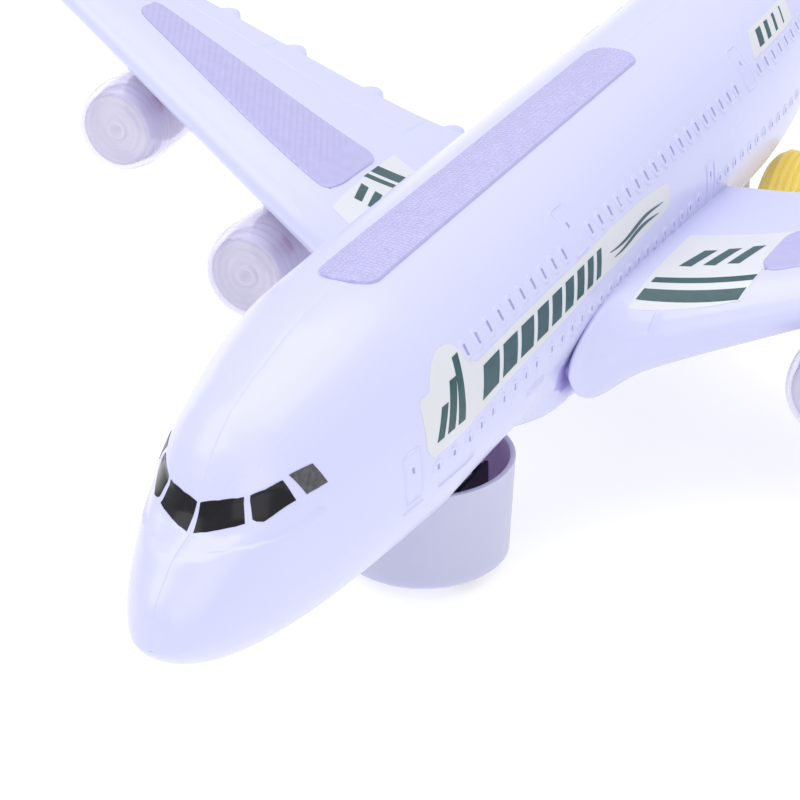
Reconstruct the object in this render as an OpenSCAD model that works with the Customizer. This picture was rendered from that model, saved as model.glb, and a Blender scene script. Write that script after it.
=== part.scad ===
// Toy airliner: a battery driven bump-and-go airplane with four engines.
// Frame: nose towards -Y, port wing on +X, +Z up, wheels standing on Z = 0.
// Stations are distances in millimetres behind the tip of the nose.
// Heights named *_h are measured from the axis of the fuselage.

/* [Fuselage] */
// Length from the nose to the tail cone
length = 440; // [420:1:460]
// Width of the cabin
cabin_w = 62; // [60:0.5:64]
// Height of the cabin
cabin_h = 64.2; // [62:0.2:66]
// Height of the cabin axis above the floor
axis_z = 62.3; // [62:0.1:64]
// Thickness of the moulded shells
wall = 1.6; // [1.2:0.1:2]

/* [Wings] */
// Distance from the centre line to a wing tip
half_span = 195; // [185:1:200]
// Station of the leading edge where the wing meets the cabin
wing_root_s = 166; // [164:1:168]
// Rise of the wing for each millimetre of span
dihedral = 0.278; // [0.26:0.01:0.32]
// Backward sweep of the leading edge for each millimetre of span
sweep = 0.534; // [0.5:0.01:0.6]

/* [Engines] */
// Largest radius of an engine
engine_r = 14; // [13:0.5:14]
// Distance of the inner engines from the centre line
inner_engine_x = 84.6; // [82:0.2:88]
// Distance of the outer engines from the centre line
outer_engine_x = 147.3; // [144:0.1:150]

/* [Turret] */
// Station of the turret's swivel axis
turret_s = 127.7; // [126:0.1:129]
// Radius of the turret cup at its rim
cup_r = 22.85; // [22.5:0.05:23]
// Radius of the drive wheels
drive_wheel_r = 9; // [9:0.1:9.2]

/* [Rear wheels] */
// Radius of a rear wheel
rear_wheel_r = 20; // [19.5:0.1:20]
// Station of the rear axle
rear_axle_s = 327; // [325:1:330]

/* [Hidden] */

white = [0.90, 0.91, 0.99];
lavender = [0.78, 0.77, 0.96];
clear = [0.85, 0.85, 0.92, 0.45];
yellow = [1.0, 0.86, 0.30];
black = [0.10, 0.10, 0.12];
steel = [0.72, 0.73, 0.75];
green = [0.13, 0.42, 0.26];

half_w = cabin_w / 2;
half_h = cabin_h / 2;
tip_h = -15.5;          // height of the tip of the nose
nose_len_side = 87.5;   // where the nose reaches full width
nose_len_belly = 68.3;  // where the nose reaches full depth
nose_len_axis = 117;    // where the widest line reaches the axis
tail_s = 300;           // where the tail starts to taper
tail_len = length - tail_s;
fit_gap = 0.15;         // gap between shells that are pushed together
run_gap = 0.05;         // radial clearance of a running fit
y0 = -length / 2;       // frame Y of station 0

// Upper line of the nose: flat ledge below the windscreen, then the forehead
top_line = [
    [0, tip_h], [1.3, -8.8], [5.4, -3.9], [10.2, 0.6], [18.5, 2.9], [25.1, 13],
    [28.4, 17.2], [39, 23.9], [53.5, 27.8], [67, 30.6], [82, 31.8], [100, half_h]
];

function clamp01(v) = max(0, min(1, v));
function mix(a, b, t) = a + (b - a) * t;
function smooth(t) = let (u = clamp01(t)) u * u * (3 - 2 * u);
function bulged(u, p, q) = pow(max(0.0001, 1 - pow(1 - clamp01(u), p)), 1 / q);
function tail_v(s) = clamp01((s - tail_s) / tail_len);
function side_w(s) = half_w * bulged(s / nose_len_side, 1.08, 2.13)
    - (half_w - 3.2) * pow(tail_v(s), 1.9);
function top_h(s) = s < 100 ? lookup(s, top_line) : half_h - 12 * pow(tail_v(s), 2.2);
function belly_h(s) = tip_h - (half_h + tip_h) * bulged(s / nose_len_belly, 2.84, 1.53)
    + 46 * pow(tail_v(s), 1.7);
function wide_h(s) = s > tail_s ? (top_h(s) + belly_h(s)) / 2
    : min(tip_h * pow(1 - clamp01(s / nose_len_axis), 1.6), top_h(s) - 0.05);

// Point of the fuselage skin: station, angle from the top, distance outwards
function skin_point(s, a, out = 0) = let (
    c = wide_h(s),
    arm = cos(a) > 0 ? top_h(s) - c : c - belly_h(s)
) [
    max(0.05, side_w(s) + out) * sin(a),
    y0 + s,
    axis_z + c + max(0.05, arm + out) * cos(a)
];
// Half width of the fuselage at a height
function flank_x(s, h) = let (
    c = wide_h(s),
    arm = h > c ? top_h(s) - c : c - belly_h(s),
    k = (h - c) / max(0.1, arm)
) side_w(s) * sqrt(max(0, 1 - k * k));

// Closed skin between an outer and an inner grid of points. keep(i, j) says which
// cells exist, and the rims of the openings are closed with walls.
module skin(outer, inner, keep, flip = false) {
    ni = len(outer);
    nj = len(outer[0]);
    n = ni * nj;
    has = [for (i = [0:ni - 2]) [for (j = [0:nj - 2]) keep[i][j]]];
    function at(i, j) = (i < 0 || j < 0 || i > ni - 2 || j > nj - 2) ? false : has[i][j];
    function id(i, j) = i * nj + j;
    function quad(a, b, c, d) = [[a, b, c], [a, c, d]];
    faces = [
        for (i = [0:ni - 2]) for (j = [0:nj - 2]) if (has[i][j]) each concat(
            quad(id(i, j), id(i, j + 1), id(i + 1, j + 1), id(i + 1, j)),
            quad(n + id(i, j), n + id(i + 1, j), n + id(i + 1, j + 1), n + id(i, j + 1)),
            at(i - 1, j) ? [] : quad(id(i, j), n + id(i, j), n + id(i, j + 1), id(i, j + 1)),
            at(i + 1, j) ? []
                : quad(id(i + 1, j), id(i + 1, j + 1), n + id(i + 1, j + 1), n + id(i + 1, j)),
            at(i, j - 1) ? [] : quad(id(i, j), id(i + 1, j), n + id(i + 1, j), n + id(i, j)),
            at(i, j + 1) ? []
                : quad(id(i, j + 1), n + id(i, j + 1), n + id(i + 1, j + 1), id(i + 1, j + 1))
        )
    ];
    points = concat([for (row = outer) each row], [for (row = inner) each row]);
    polyhedron(points, flip ? [for (f = faces) [f[2], f[1], f[0]]] : faces);
}
function all_cells(grid) = [for (i = [0:len(grid) - 2]) [for (j = [0:len(grid[0]) - 2]) true]];

// ---------------------------------------------------------------- fuselage
slot_front_s = 86.6;    // opening of the top light lens
slot_back_s = 250;
slot_a = 14.2;
door_front_s = 167;     // opening of the battery door
door_back_s = 278;
door_half_w = 16;
door_a = 180 - asin(door_half_w / half_w);
plug_half_w = 8.2;      // opening of the turret bearing and of the switch
plug_a = 180 - asin(plug_half_w / half_w);
plug_half_l = 8;
switch_s = 288;
switch_half_l = 6;

fuselage_s = [
    0, 0.6, 1.5, 3, 5.4, 8.4, 10.2, 14, 18.5, 21.8, 25.1, 28.4, 34, 39, 46, 53.5, 60, 67, 76,
    slot_front_s, 100, turret_s - plug_half_l, turret_s + plug_half_l, 150, door_front_s, 190,
    215, 235, slot_back_s, 264, door_back_s, switch_s - switch_half_l, switch_s + switch_half_l,
    305, 318, 332, 346, 360, 374, 388, 402, 416, 428, 436, length
];
fuselage_a = [0, slot_a, 28, 42, 56, 70, 84, 98, 112, 124, 136, door_a, plug_a, 180];
function inside(v, lo, hi) = v > lo - 0.01 && v < hi - 0.01;
function fuselage_keep(s, a) =
    !(inside(a, 0, slot_a) && inside(s, slot_front_s, slot_back_s))
    && !(inside(a, door_a, 180) && inside(s, door_front_s, door_back_s))
    && !(inside(a, plug_a, 180) && (inside(s, turret_s - plug_half_l, turret_s + plug_half_l)
        || inside(s, switch_s - switch_half_l, switch_s + switch_half_l)));

module fuselage_half() {
    outer = [for (s = fuselage_s) [for (a = fuselage_a) skin_point(s, a)]];
    inner = [for (s = fuselage_s) [for (a = fuselage_a)
        let (p = skin_point(s, a, -wall)) [p[0], p[1] + wall * clamp01(1 - s / 30), p[2]]]];
    keep = [for (i = [0:len(fuselage_s) - 2]) [for (j = [0:len(fuselage_a) - 2])
        fuselage_keep(fuselage_s[i], fuselage_a[j])]];
    skin(outer, inner, keep);
}
module fuselage_left_shell() {
    color(white) fuselage_half();
}
module fuselage_right_shell() {
    color(white) mirror([1, 0, 0]) fuselage_half();
}
module top_light_lens() {
    stations = [for (t = [0:8]) mix(slot_front_s + fit_gap, slot_back_s - fit_gap, t / 8)];
    angles = [for (t = [-3:3]) t / 3 * (slot_a - 0.35)];
    outer = [for (s = stations) [for (a = angles) skin_point(s, a, 0.4)]];
    inner = [for (s = stations) [for (a = angles) skin_point(s, a, -wall)]];
    color(lavender) skin(outer, inner, all_cells(outer));
}

// Wing box fairing under the cabin, with the openings of the door and the switch
fairing_edge_a = 141.5;
module belly_fairing() {
    stations = [126, 132, 138, 144, 150, 152.5, 160, door_front_s, 190, 222, 250, 264, door_back_s,
        switch_s - switch_half_l, switch_s + switch_half_l, 299];
    angles = [108, 116, 124, 131, 136.5, fairing_edge_a, door_a, plug_a, 180, 360 - plug_a, 360 - door_a,
        360 - fairing_edge_a, 223.5, 229, 236, 244, 252];
    function bulge(s, a) = let (off = a > 180 ? 360 - a : a)
        0.3 + 6.2 * smooth((s - 124) / 28) * smooth((304 - s) / 26) * smooth((off - 104) / 28);
    outer = [for (s = stations) [for (a = angles) skin_point(s, a, fit_gap + bulge(s, a))]];
    inner = [for (s = stations) [for (a = angles) skin_point(s, a, fit_gap)]];
    keep = [for (i = [0:len(stations) - 2]) [for (j = [0:len(angles) - 2])
        let (s = stations[i], middle = inside(angles[j], fairing_edge_a, 360 - fairing_edge_a))
        (middle ? s > 152 : s < 159 && (s < 143 || inside(angles[j], 136, 223)))
        && !(inside(angles[j], door_a, 360 - door_a) && inside(s, door_front_s, door_back_s))
        && !(inside(angles[j], plug_a, 360 - plug_a)
            && inside(s, switch_s - switch_half_l, switch_s + switch_half_l))]];
    color(white) skin(outer, inner, keep);
}

// ---------------------------------------------------------------- wings
root_x = 30;            // span position where the wing sections start
lens_in_x = 60;         // the wing lens runs from here ...
lens_out_x = 152;       // ... to here
tip_round = 14;         // length of the rounded tip

function span_t(x) = (x - root_x) / (half_span - root_x);
function tip_cut(x) = let (t = clamp01((x - half_span + tip_round) / tip_round)) 1 - sqrt(1 - 0.94 * t * t);
// The leading edge runs forward at the root, where the wing also rises and gets thicker
function lead_s(x) = wing_root_s + sweep * (x - root_x) - 20.7 * exp((26 - x) / 12) + 16 * tip_cut(x);
function root_rise(x) = 9.3 * exp(-pow(max(0, x - 26) / 25, 1.5));
function trail_s(x) = 259 + 0.158 * (x - root_x) - 9 * tip_cut(x);
function foil(c) = 10 * (0.2969 * sqrt(c) - 0.126 * c - 0.3516 * c * c + 0.2843 * pow(c, 3)
    - 0.1036 * pow(c, 4));
function camber_h(x) = -15 + dihedral * (x - root_x) + root_rise(x);
function upper_t(x) = mix(4.9, 3, span_t(x)) * (1 - 0.7 * tip_cut(x));
function lower_t(x) = (mix(16, 7, span_t(x)) + 0.8 * root_rise(x)) * (1 - 0.7 * tip_cut(x));
// The nose of the section droops, which makes the leading edge round
nose_c = 0.28;
function nose(c) = max(0, 1 - c / nose_c);
function drop(x) = 0.3 * lower_t(x);
function upper_h(x, c) = camber_h(x) + upper_t(x) * foil(c) - drop(x) * (1 - sqrt(1 - pow(nose(c), 2)));
function lower_h(x, c) = camber_h(x) - norm([drop(x) * nose(c), lower_t(x) * foil(c)]);
function middle_h(x, c) = (upper_h(x, c) + lower_h(x, c)) / 2;
function lens_v(x) = clamp01((x - lens_in_x) / (lens_out_x - lens_in_x));
function lens_front(x) = 0.178 + 0.17 * pow(lens_v(x), 2);
function lens_back(x) = mix(0.532, 0.582, lens_v(x));
function chord_s(x, c) = mix(lead_s(x), trail_s(x), c);

wing_x = [27, 33, 37, 43, 51, lens_in_x, 72, 88, 104, 120, 136, lens_out_x, 162, 172,
    half_span - tip_round, 186, 191, 194, half_span];
edge_c = 0.02;          // part of the chord taken by the wall at the edges
function wing_c(x) = [0, 0.01, 0.035, 0.07, 0.12, lens_front(x), mix(lens_front(x), lens_back(x), 0.5),
    lens_back(x), 0.66, 0.74, 0.82, 0.9, 0.96, 1];
// The root follows the side of the cabin
function wing_point(i, s, h) = let (x = wing_x[i])
    [i == 0 ? max(24.6, flank_x(s, h) + fit_gap) : x, y0 + s, axis_z + h];

module wing_skin(up) {
    outer = [for (i = [0:len(wing_x) - 1]) let (x = wing_x[i]) [for (c = wing_c(x))
        wing_point(i, chord_s(x, c), up ? upper_h(x, c) : lower_h(x, c))]];
    inner = [for (i = [0:len(wing_x) - 1]) let (x = wing_x[i], cs = wing_c(x)) [
        for (j = [0:len(cs) - 1]) let (
            c = max(edge_c, min(1 - edge_c, cs[j])),
            rim = j == 0 || j == len(cs) - 1,
            mid = middle_h(x, c),
            h = rim ? mid : up ? max(mid + 0.3, upper_h(x, c) - wall)
                : min(mid - 0.3, lower_h(x, c) + wall)
        ) wing_point(i, chord_s(x, c), h)]];
    keep = [for (i = [0:len(wing_x) - 2]) [for (j = [0:len(outer[0]) - 2])
        !(up && inside(wing_x[i], lens_in_x, lens_out_x) && j >= 5 && j < 7)]];
    skin(outer, inner, keep, flip = !up);
}
module wing_lens() {
    xs = [for (t = [0:6]) mix(lens_in_x + 0.3, lens_out_x - 0.3, t / 6)];
    outer = [for (x = xs) [for (t = [0:4])
        let (c = mix(lens_front(x) + 0.003, lens_back(x) - 0.003, t / 4))
        [x, y0 + chord_s(x, c), axis_z + upper_h(x, c) + 0.4]]];
    inner = [for (row = outer) [for (p = row) p - [0, 0, 0.4 + wall]]];
    skin(outer, inner, all_cells(outer));
}
module wing_left_upper_shell() {
    color(white) wing_skin(true);
}
module wing_left_lower_shell() {
    color(white) wing_skin(false);
}
module wing_left_lens() {
    color(lavender) wing_lens();
}
module wing_right_upper_shell() {
    color(white) mirror([1, 0, 0]) wing_skin(true);
}
module wing_right_lower_shell() {
    color(white) mirror([1, 0, 0]) wing_skin(false);
}
module wing_right_lens() {
    color(lavender) mirror([1, 0, 0]) wing_lens();
}

// ---------------------------------------------------------------- engines
engine_len = 47;
engine_wall = 1.3;
engine_lip = 0.885;      // radius of the front lip, as a share of the largest radius
inner_engine = [inner_engine_x, 189.6, -27.3];   // span, station and height of the front
outer_engine = [outer_engine_x, 224.7, -6.9];
engines = [inner_engine, outer_engine];
function engine_at(e) = [e[0], y0 + e[1], axis_z + e[2]];
// Turns a profile drawn as (radius, length) about the engine's axis, along +Y
module along_y() {
    rotate([-90, 0, 0]) rotate_extrude($fn = 96) children();
}
module nacelle(e) {
    r = engine_r;
    lip = engine_lip * r;
    cone = 0.6 * r;
    w = engine_wall;
    pylon_w = 4;
    chord = trail_s(e[0]) - lead_s(e[0]);
    function under(s) = lower_h(e[0], clamp01((s - lead_s(e[0])) / chord)) - e[2] - 0.9;
    translate(engine_at(e)) {
        along_y() polygon([
            [lip - w, -0.6], [lip, -0.6], [0.94 * r, 1.4], [0.975 * r, 5], [r, 10], [r, 18],
            [0.95 * r, 28], [0.82 * r, 38], [cone, engine_len], [0, engine_len],
            [0, engine_len - w], [cone - w, engine_len - w], [0.82 * r - w, 37.6],
            [0.95 * r - w, 28], [r - w, 18], [r - w, 10], [0.94 * r - w, 3.4], [lip - w, 2.5]
        ]);
        translate([-pylon_w / 2, 0, 0]) rotate([90, 0, 90]) linear_extrude(pylon_w) polygon(concat(
            [for (d = [12:4:40]) [d, under(e[1] + d)]],
            [[40, 0.8 * r - 0.2], [24, r - 0.7], [12, r - 0.7]]
        ));
    }
}
module each_engine() {
    for (side = [-1, 1]) for (e = engines) translate([side * e[0], y0 + e[1], axis_z + e[2]]) children();
}
module engine_left_inner_nacelle() {
    color(clear) nacelle(inner_engine);
}
module engine_left_outer_nacelle() {
    color(clear) nacelle(outer_engine);
}
module engine_right_inner_nacelle() {
    color(clear) mirror([1, 0, 0]) nacelle(inner_engine);
}
module engine_right_outer_nacelle() {
    color(clear) mirror([1, 0, 0]) nacelle(outer_engine);
}
// Disc with concentric rings and a dimple in the middle
module engine_front_lenses() {
    r = engine_lip * engine_r - engine_wall - 0.1;
    color(clear) each_engine() along_y() polygon([
        [0, 1.2], [1.2, 0.6], [2, 0.2], [2.6, 0.7], [0.38 * r, 0.7], [0.45 * r, 0.2], [0.55 * r, 0.7],
        [0.68 * r, 0.7], [0.75 * r, 0.2], [0.85 * r, 0.7], [r, 0.2], [r, 2.2], [0, 2.2]
    ]);
}
module engine_led_boards() {
    color(green) each_engine() along_y() polygon([[0, 22], [11, 22], [11, 23.5], [0, 23.5]]);
}
module engine_leds() {
    color("red") each_engine() along_y() polygon([
        [0, 13.5], [1.2, 13.9], [2.2, 15], [2.5, 16.2], [2.5, 20.6], [2.9, 20.6], [2.9, 21.9], [0, 21.9]
    ]);
}

// ---------------------------------------------------------------- tail
fin_tip_h = 80;
module tail_fin() {
    levels = [for (t = [0, 0.12, 0.3, 0.5, 0.7, 0.88, 0.97, 1]) t];
    chords = [0, 0.015, 0.06, 0.15, 0.3, 0.5, 0.7, 0.88, 0.985, 1];
    function fin_s(t, c) = let (front = mix(338, 398, t) + 9 * pow(t, 12), back = mix(424, 431, t))
        mix(front, back, c);
    function fin_z(t, c) = mix(top_h(fin_s(0, c)) + 0.25, fin_tip_h, t);
    function fin_x(t, c) = max(0.25, mix(3.6, 1.9, t) * foil(c) * (1 - 0.6 * pow(t, 14)));
    right = [for (t = levels) [for (c = chords) [fin_x(t, c), y0 + fin_s(t, c), axis_z + fin_z(t, c)]]];
    left = [for (row = right) [for (p = row) [-p[0], p[1], p[2]]]];
    color(white) skin(right, left, all_cells(right), flip = true);
}
module tailplane() {
    spans = [0, 8, 22, 38, 54, 66, 73, 76];
    chords = [0, 0.02, 0.07, 0.16, 0.32, 0.5, 0.7, 0.9, 0.985, 1];
    function front(x) = 374 + 0.62 * x + 8 * pow(x / 76, 10);
    function back(x) = 421 + 0.16 * x - 4 * pow(x / 76, 10);
    function level(x) = 13 + 0.11 * x;
    function thick(x, c) = max(0.25, mix(3.4, 1.5, x / 76) * foil(c));
    function at(x, c, sign) = let (s = mix(front(x), back(x), c), h = level(x) + sign * thick(x, c))
        [x == 0 ? flank_x(s, h) + fit_gap : x + 12, y0 + s, axis_z + h];
    up = [for (x = spans) [for (c = chords) at(x, c, 1)]];
    down = [for (x = spans) [for (c = chords) at(x, c, -1)]];
    skin(up, down, all_cells(up));
}
module tailplane_left() {
    color(white) tailplane();
}
module tailplane_right() {
    color(white) mirror([1, 0, 0]) tailplane();
}

// ---------------------------------------------------------------- power
cell_r = 7.25;
cell_len = 50.5;
cell_z = axis_z - 19.6;
cells = [[-7.6, 170.5], [7.6, 170.5], [0, 225.4]];   // x and front station of each cell
tray_top_z = cell_z + 8.4;
tray_bottom_z = axis_z - 25.4;
module battery_tray() {
    color(black) difference() {
        translate([-door_half_w + 0.3, y0 + door_front_s + 0.5, tray_bottom_z])
            cube([2 * door_half_w - 0.6, door_back_s - door_front_s - 1, tray_top_z - tray_bottom_z]);
        translate([-15, y0 + 168.7, tray_bottom_z - 1]) cube([30, 53.5, tray_top_z - tray_bottom_z - 0.2]);
        translate([-8, y0 + 223.5, tray_bottom_z - 1]) cube([16, 53.2, tray_top_z - tray_bottom_z - 0.2]);
    }
}
module battery_cells() {
    color("orange") for (c = cells) translate([c[0], y0 + c[1], cell_z]) rotate([-90, 0, 0]) {
        cylinder(h = cell_len - 1.4, r = cell_r - 0.1, $fn = 64);
        cylinder(h = cell_len - 0.2, r = 2.6, $fn = 48);
    }
}
module battery_contacts() {
    color(steel) for (c = cells)
        translate([c[0] - 5, y0 + c[1] + cell_len - 0.1, cell_z - 5]) cube([10, 0.4, 10]);
}
module battery_springs() {
    color(steel) for (c = cells) translate([c[0], y0 + c[1], cell_z]) rotate([90, 0, 0])
        for (k = [0:2]) translate([0, 0, 0.05 + 0.55 * k])
            rotate_extrude($fn = 48) translate([4.4 - 0.7 * k, 0.25]) circle(r = 0.25, $fn = 16);
}
// The door turns about the round rod along its front edge
door_gap = 0.35;
door_front_y = y0 + door_front_s + door_gap;
door_z = axis_z - half_h - 5.6;
door_thick = 1.8;
door_rod_r = door_thick / 2;
door_screw_y = y0 + door_back_s - 6;
door_len = door_back_s - door_front_s - 2 * door_gap;
module battery_door() {
    color(white) difference() {
        union() {
            translate([-door_half_w + door_gap, door_front_y + door_rod_r, door_z])
                cube([2 * (door_half_w - door_gap), door_len - door_rod_r, door_thick]);
            translate([-door_half_w + door_gap, door_front_y + door_rod_r, door_z + door_rod_r])
                rotate([0, 90, 0]) cylinder(h = 2 * (door_half_w - door_gap), r = door_rod_r, $fn = 64);
            for (side = [-1, 1]) translate([side * 9 - 2.5, door_front_y + door_rod_r, door_z])
                cube([5, 1.6, 3.6]);
            for (side = [-1, 1]) translate([side * 13.6 - 0.6, door_front_y + 4, door_z])
                cube([1.2, door_len - 8, 4]);
        }
        translate([0, door_screw_y, door_z - 1]) cylinder(h = 4, r = 1.6, $fn = 48);
    }
}
module battery_door_screw() {
    color(steel) translate([0, door_screw_y, door_z]) {
        translate([0, 0, -0.9]) cylinder(h = 0.9, r = 2.6, $fn = 48);
        translate([0, 0, -0.05]) cylinder(h = 5.5, r = 1.2, $fn = 32);
    }
}

// ---------------------------------------------------------------- electronics
board_s = 290;
module circuit_board() {
    color(green) translate([-20, y0 + board_s, axis_z + 2]) cube([40, 42, 1.6]);
}
module sound_chip() {
    color(black) translate([-5, y0 + board_s + 14, axis_z + 3.6]) {
        cylinder(h = 1.4, r = 5, $fn = 48);
        translate([12, 4, 0]) cylinder(h = 8, r = 3.2, $fn = 48);
        translate([-10, 14, 0]) cube([4.6, 3.6, 3]);
    }
}
speaker_s = 84;
speaker_r = 14.5;
module speaker() {
    color(steel) translate([0, y0 + speaker_s, axis_z - 24.5]) rotate_extrude($fn = 96) polygon([
        [0, 1.6], [5, 1.2], [speaker_r - 1.6, 0.4], [speaker_r, 0], [speaker_r, 1.4],
        [12, 3.4], [7, 4.4], [7, 8.4], [0, 8.4]
    ]);
}
led_strip_h = 24;
top_led_s = [105, 145, 185, 225];
module top_led_board() {
    color(green) translate([-5, y0 + 98, axis_z + led_strip_h - 1.7]) cube([10, 140, 1.6]);
}
module top_leds() {
    color("red") for (s = top_led_s) translate([0, y0 + s, axis_z + led_strip_h]) led();
}
module led() {
    translate([0, 0, -0.05]) {
        cylinder(h = 2.6, r = 1.5, $fn = 32);
        cylinder(h = 1, r = 1.8, $fn = 32);
    }
}
// Boards under the wing lenses, lying along the rise of the wing
wing_led_x = [6, 30, 54];
module each_wing_board() {
    for (side = [0, 1]) mirror([side, 0, 0])
        translate([64, y0 + chord_s(64, 0.36), axis_z + camber_h(62) - 2])
            rotate([0, -atan(dihedral), 0]) rotate([0, 0, 22]) children();
}
module wing_led_boards() {
    color(green) each_wing_board() translate([0, -3, 0]) cube([60, 6, 1]);
}
module wing_leds() {
    color("red") each_wing_board() for (x = wing_led_x)
        translate([x, 0, 1.1]) cylinder(h = 1.8, r = 1.4, $fn = 32);
}

// Slide switch behind the battery door
switch_y = y0 + switch_s;
switch_z = axis_z - half_h - 5.2;
module switch_bezel() {
    color(black) difference() {
        translate([-plug_half_w + 0.9, switch_y - switch_half_l + 0.2, switch_z])
            cube([2 * plug_half_w - 1.8, 2 * switch_half_l - 0.4, 3.2]);
        translate([-2, switch_y - 3.6, switch_z - 1]) cube([4, 7.2, 6]);
    }
}
module switch_body() {
    color(steel) difference() {
        translate([-5, switch_y - 5, switch_z + 4.2]) cube([10, 10, 5]);
        translate([-2.2, switch_y - 3.6, switch_z + 3]) cube([4.4, 7.2, 3.4]);
    }
}
module power_switch_slider() {
    color("red") {
        translate([-1.7, switch_y - 3.3, switch_z - 0.4]) cube([3.4, 3.6, 4.6]);
        translate([-2, switch_y - 3.4, switch_z + 4.2]) cube([4, 3.8, 1.8]);
    }
}

// ---------------------------------------------------------------- turret
turret_y = y0 + turret_s;
cup_top_z = 29.6;
cup_bottom_z = 3;
cup_base_r = 21.5;
cup_wall = 1.4;
base_top_z = 4.2;
pivot_r = 3;
bar_z = 25.8;
bar_thick = 2.2;
post_top_z = 40.1;
bar_screw_y = 17;
screw_r = 0.85;

module at_turret() {
    translate([0, turret_y, 0]) children();
}
// Draws along +X: 2D x becomes Y and 2D y becomes Z
module along_x(x, w) {
    translate([x, 0, 0]) rotate([90, 0, 90]) linear_extrude(w) children();
}
module rod_x(x0, x1, at, r, fn = 64) {
    translate([x0, at[0], at[1]]) rotate([0, 90, 0]) cylinder(h = x1 - x0, r = r, $fn = fn);
}
module turret_bearing() {
    color(white) at_turret() difference() {
        union() {
            translate([-7.3, -7.6, 30.9]) cube([14.6, 15.2, 3]);
            translate([0, 0, 33.8]) cylinder(h = 1.6, r = 9, $fn = 96);
            translate([0, 0, 31]) cylinder(h = 9, r = 6, $fn = 96);
        }
        translate([0, 0, 30]) cylinder(h = 12, r = pivot_r + run_gap, $fn = 96);
    }
}
module turret_crossbar() {
    color(black) at_turret() difference() {
        union() {
            intersection() {
                translate([-5, -20, bar_z]) cube([10, 40, bar_thick]);
                translate([0, 0, bar_z]) cylinder(h = bar_thick, r = 19.8, $fn = 96);
            }
            translate([0, 0, bar_z + 0.5]) cylinder(h = post_top_z - bar_z - 0.5, r = pivot_r, $fn = 96);
        }
        for (side = [-1, 1]) translate([0, side * bar_screw_y, bar_z - 1]) cylinder(h = 5, r = 1.2, $fn = 32);
        translate([0, 0, post_top_z - 9]) cylinder(h = 10, r = screw_r + 0.05, $fn = 32);
    }
}
module turret_cup() {
    color(white) at_turret() difference() {
        union() {
            rotate_extrude($fn = 128) polygon([
                [0, cup_bottom_z], [cup_base_r - 0.8, cup_bottom_z], [cup_base_r, cup_bottom_z + 0.8],
                [cup_r, cup_top_z], [cup_r - cup_wall, cup_top_z], [cup_base_r - cup_wall, base_top_z],
                [0, base_top_z]
            ]);
            for (side = [-1, 1]) translate([0, side * bar_screw_y, base_top_z - 0.1])
                cylinder(h = bar_z - base_top_z + 0.1, r = 2.5, $fn = 48);
            translate([-11.8, axle_at[0] - 3, base_top_z - 0.1]) cube([1.5, 4.6, 7.3]);
        }
        for (side = [-1, 1]) {
            translate([side * 14.5 - 1.9, axle_at[0] - 8.2, cup_bottom_z - 1]) cube([3.8, 16.4, 3]);
            translate([0, side * bar_screw_y, 12]) cylinder(h = 20, r = screw_r + 0.05, $fn = 32);
        }
        rod_x(-13, -9, axle_at, axle_r + run_gap);
    }
}
module turret_washer() {
    color(steel) at_turret() translate([0, 0, post_top_z]) difference() {
        cylinder(h = 0.8, r = 5, $fn = 64);
        translate([0, 0, -1]) cylinder(h = 3, r = 1.1, $fn = 32);
    }
}
module pan_screw(len) {
    cylinder(h = 1.2, r = 2.1, $fn = 48);
    translate([0, 0, -len]) cylinder(h = len + 0.1, r = screw_r, $fn = 32);
}
module turret_pivot_screw() {
    color(steel) at_turret() translate([0, 0, post_top_z + 0.8]) pan_screw(8);
}
module turret_cup_screws() {
    color(steel) at_turret() for (side = [-1, 1])
        translate([0, side * bar_screw_y, bar_z + bar_thick]) pan_screw(10);
}

// Gear train, seen along +X: every centre is (Y, Z) from the turret's axis
tooth_mod = 0.5;
big_n = 16;
small_n = 8;
mesh = tooth_mod * (big_n + small_n) / 2;
axle_at = [-2.5, drive_wheel_r];
axle_dir = 100;
second_at = axle_at + mesh * [cos(axle_dir), sin(axle_dir)];
second_dir = 40;
first_at = second_at + mesh * [cos(second_dir), sin(second_dir)];
first_dir = -45;
motor_at = first_at + mesh * [cos(first_dir), sin(first_dir)];
axle_r = 1;
arbor_r = 0.75;
plane_axle = 4.7;       // x of the three gear planes
plane_second = 7.0;
plane_first = 9.3;
gear_w = 2;

// Spur gear with straight flanks, with one tooth at the angle phase
module gear(n, phase, bore) {
    r = tooth_mod * n / 2;
    tip = r + 0.42;
    root = r - 0.62;
    tip_a = 360 * 0.10 / n;
    root_a = 360 * 0.27 / n;
    difference() {
        polygon([for (k = [0:n - 1]) let (a = phase + 360 * k / n) each [
            root * [cos(a - root_a), sin(a - root_a)], tip * [cos(a - tip_a), sin(a - tip_a)],
            tip * [cos(a + tip_a), sin(a + tip_a)], root * [cos(a + root_a), sin(a + root_a)]]]);
        circle(r = bore, $fn = 48);
    }
}
module gear_at(x, centre, n, phase, bore) {
    translate([0, centre[0], centre[1]]) along_x(x, gear_w) gear(n, phase, bore);
}
half_tooth = 180 / small_n;
module axle_gear() {
    color(white) at_turret() gear_at(plane_axle, axle_at, big_n, axle_dir, axle_r);
}
module second_gear() {
    color(white) at_turret() {
        gear_at(plane_axle, second_at, small_n, axle_dir + 180 + half_tooth, arbor_r + run_gap);
        translate([0, second_at[0], second_at[1]]) along_x(plane_axle + gear_w - 0.05, 0.4)
            difference() {
                circle(r = 1.3, $fn = 48);
                circle(r = arbor_r + run_gap, $fn = 48);
            }
        gear_at(plane_second, second_at, big_n, second_dir, arbor_r + run_gap);
    }
}
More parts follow.
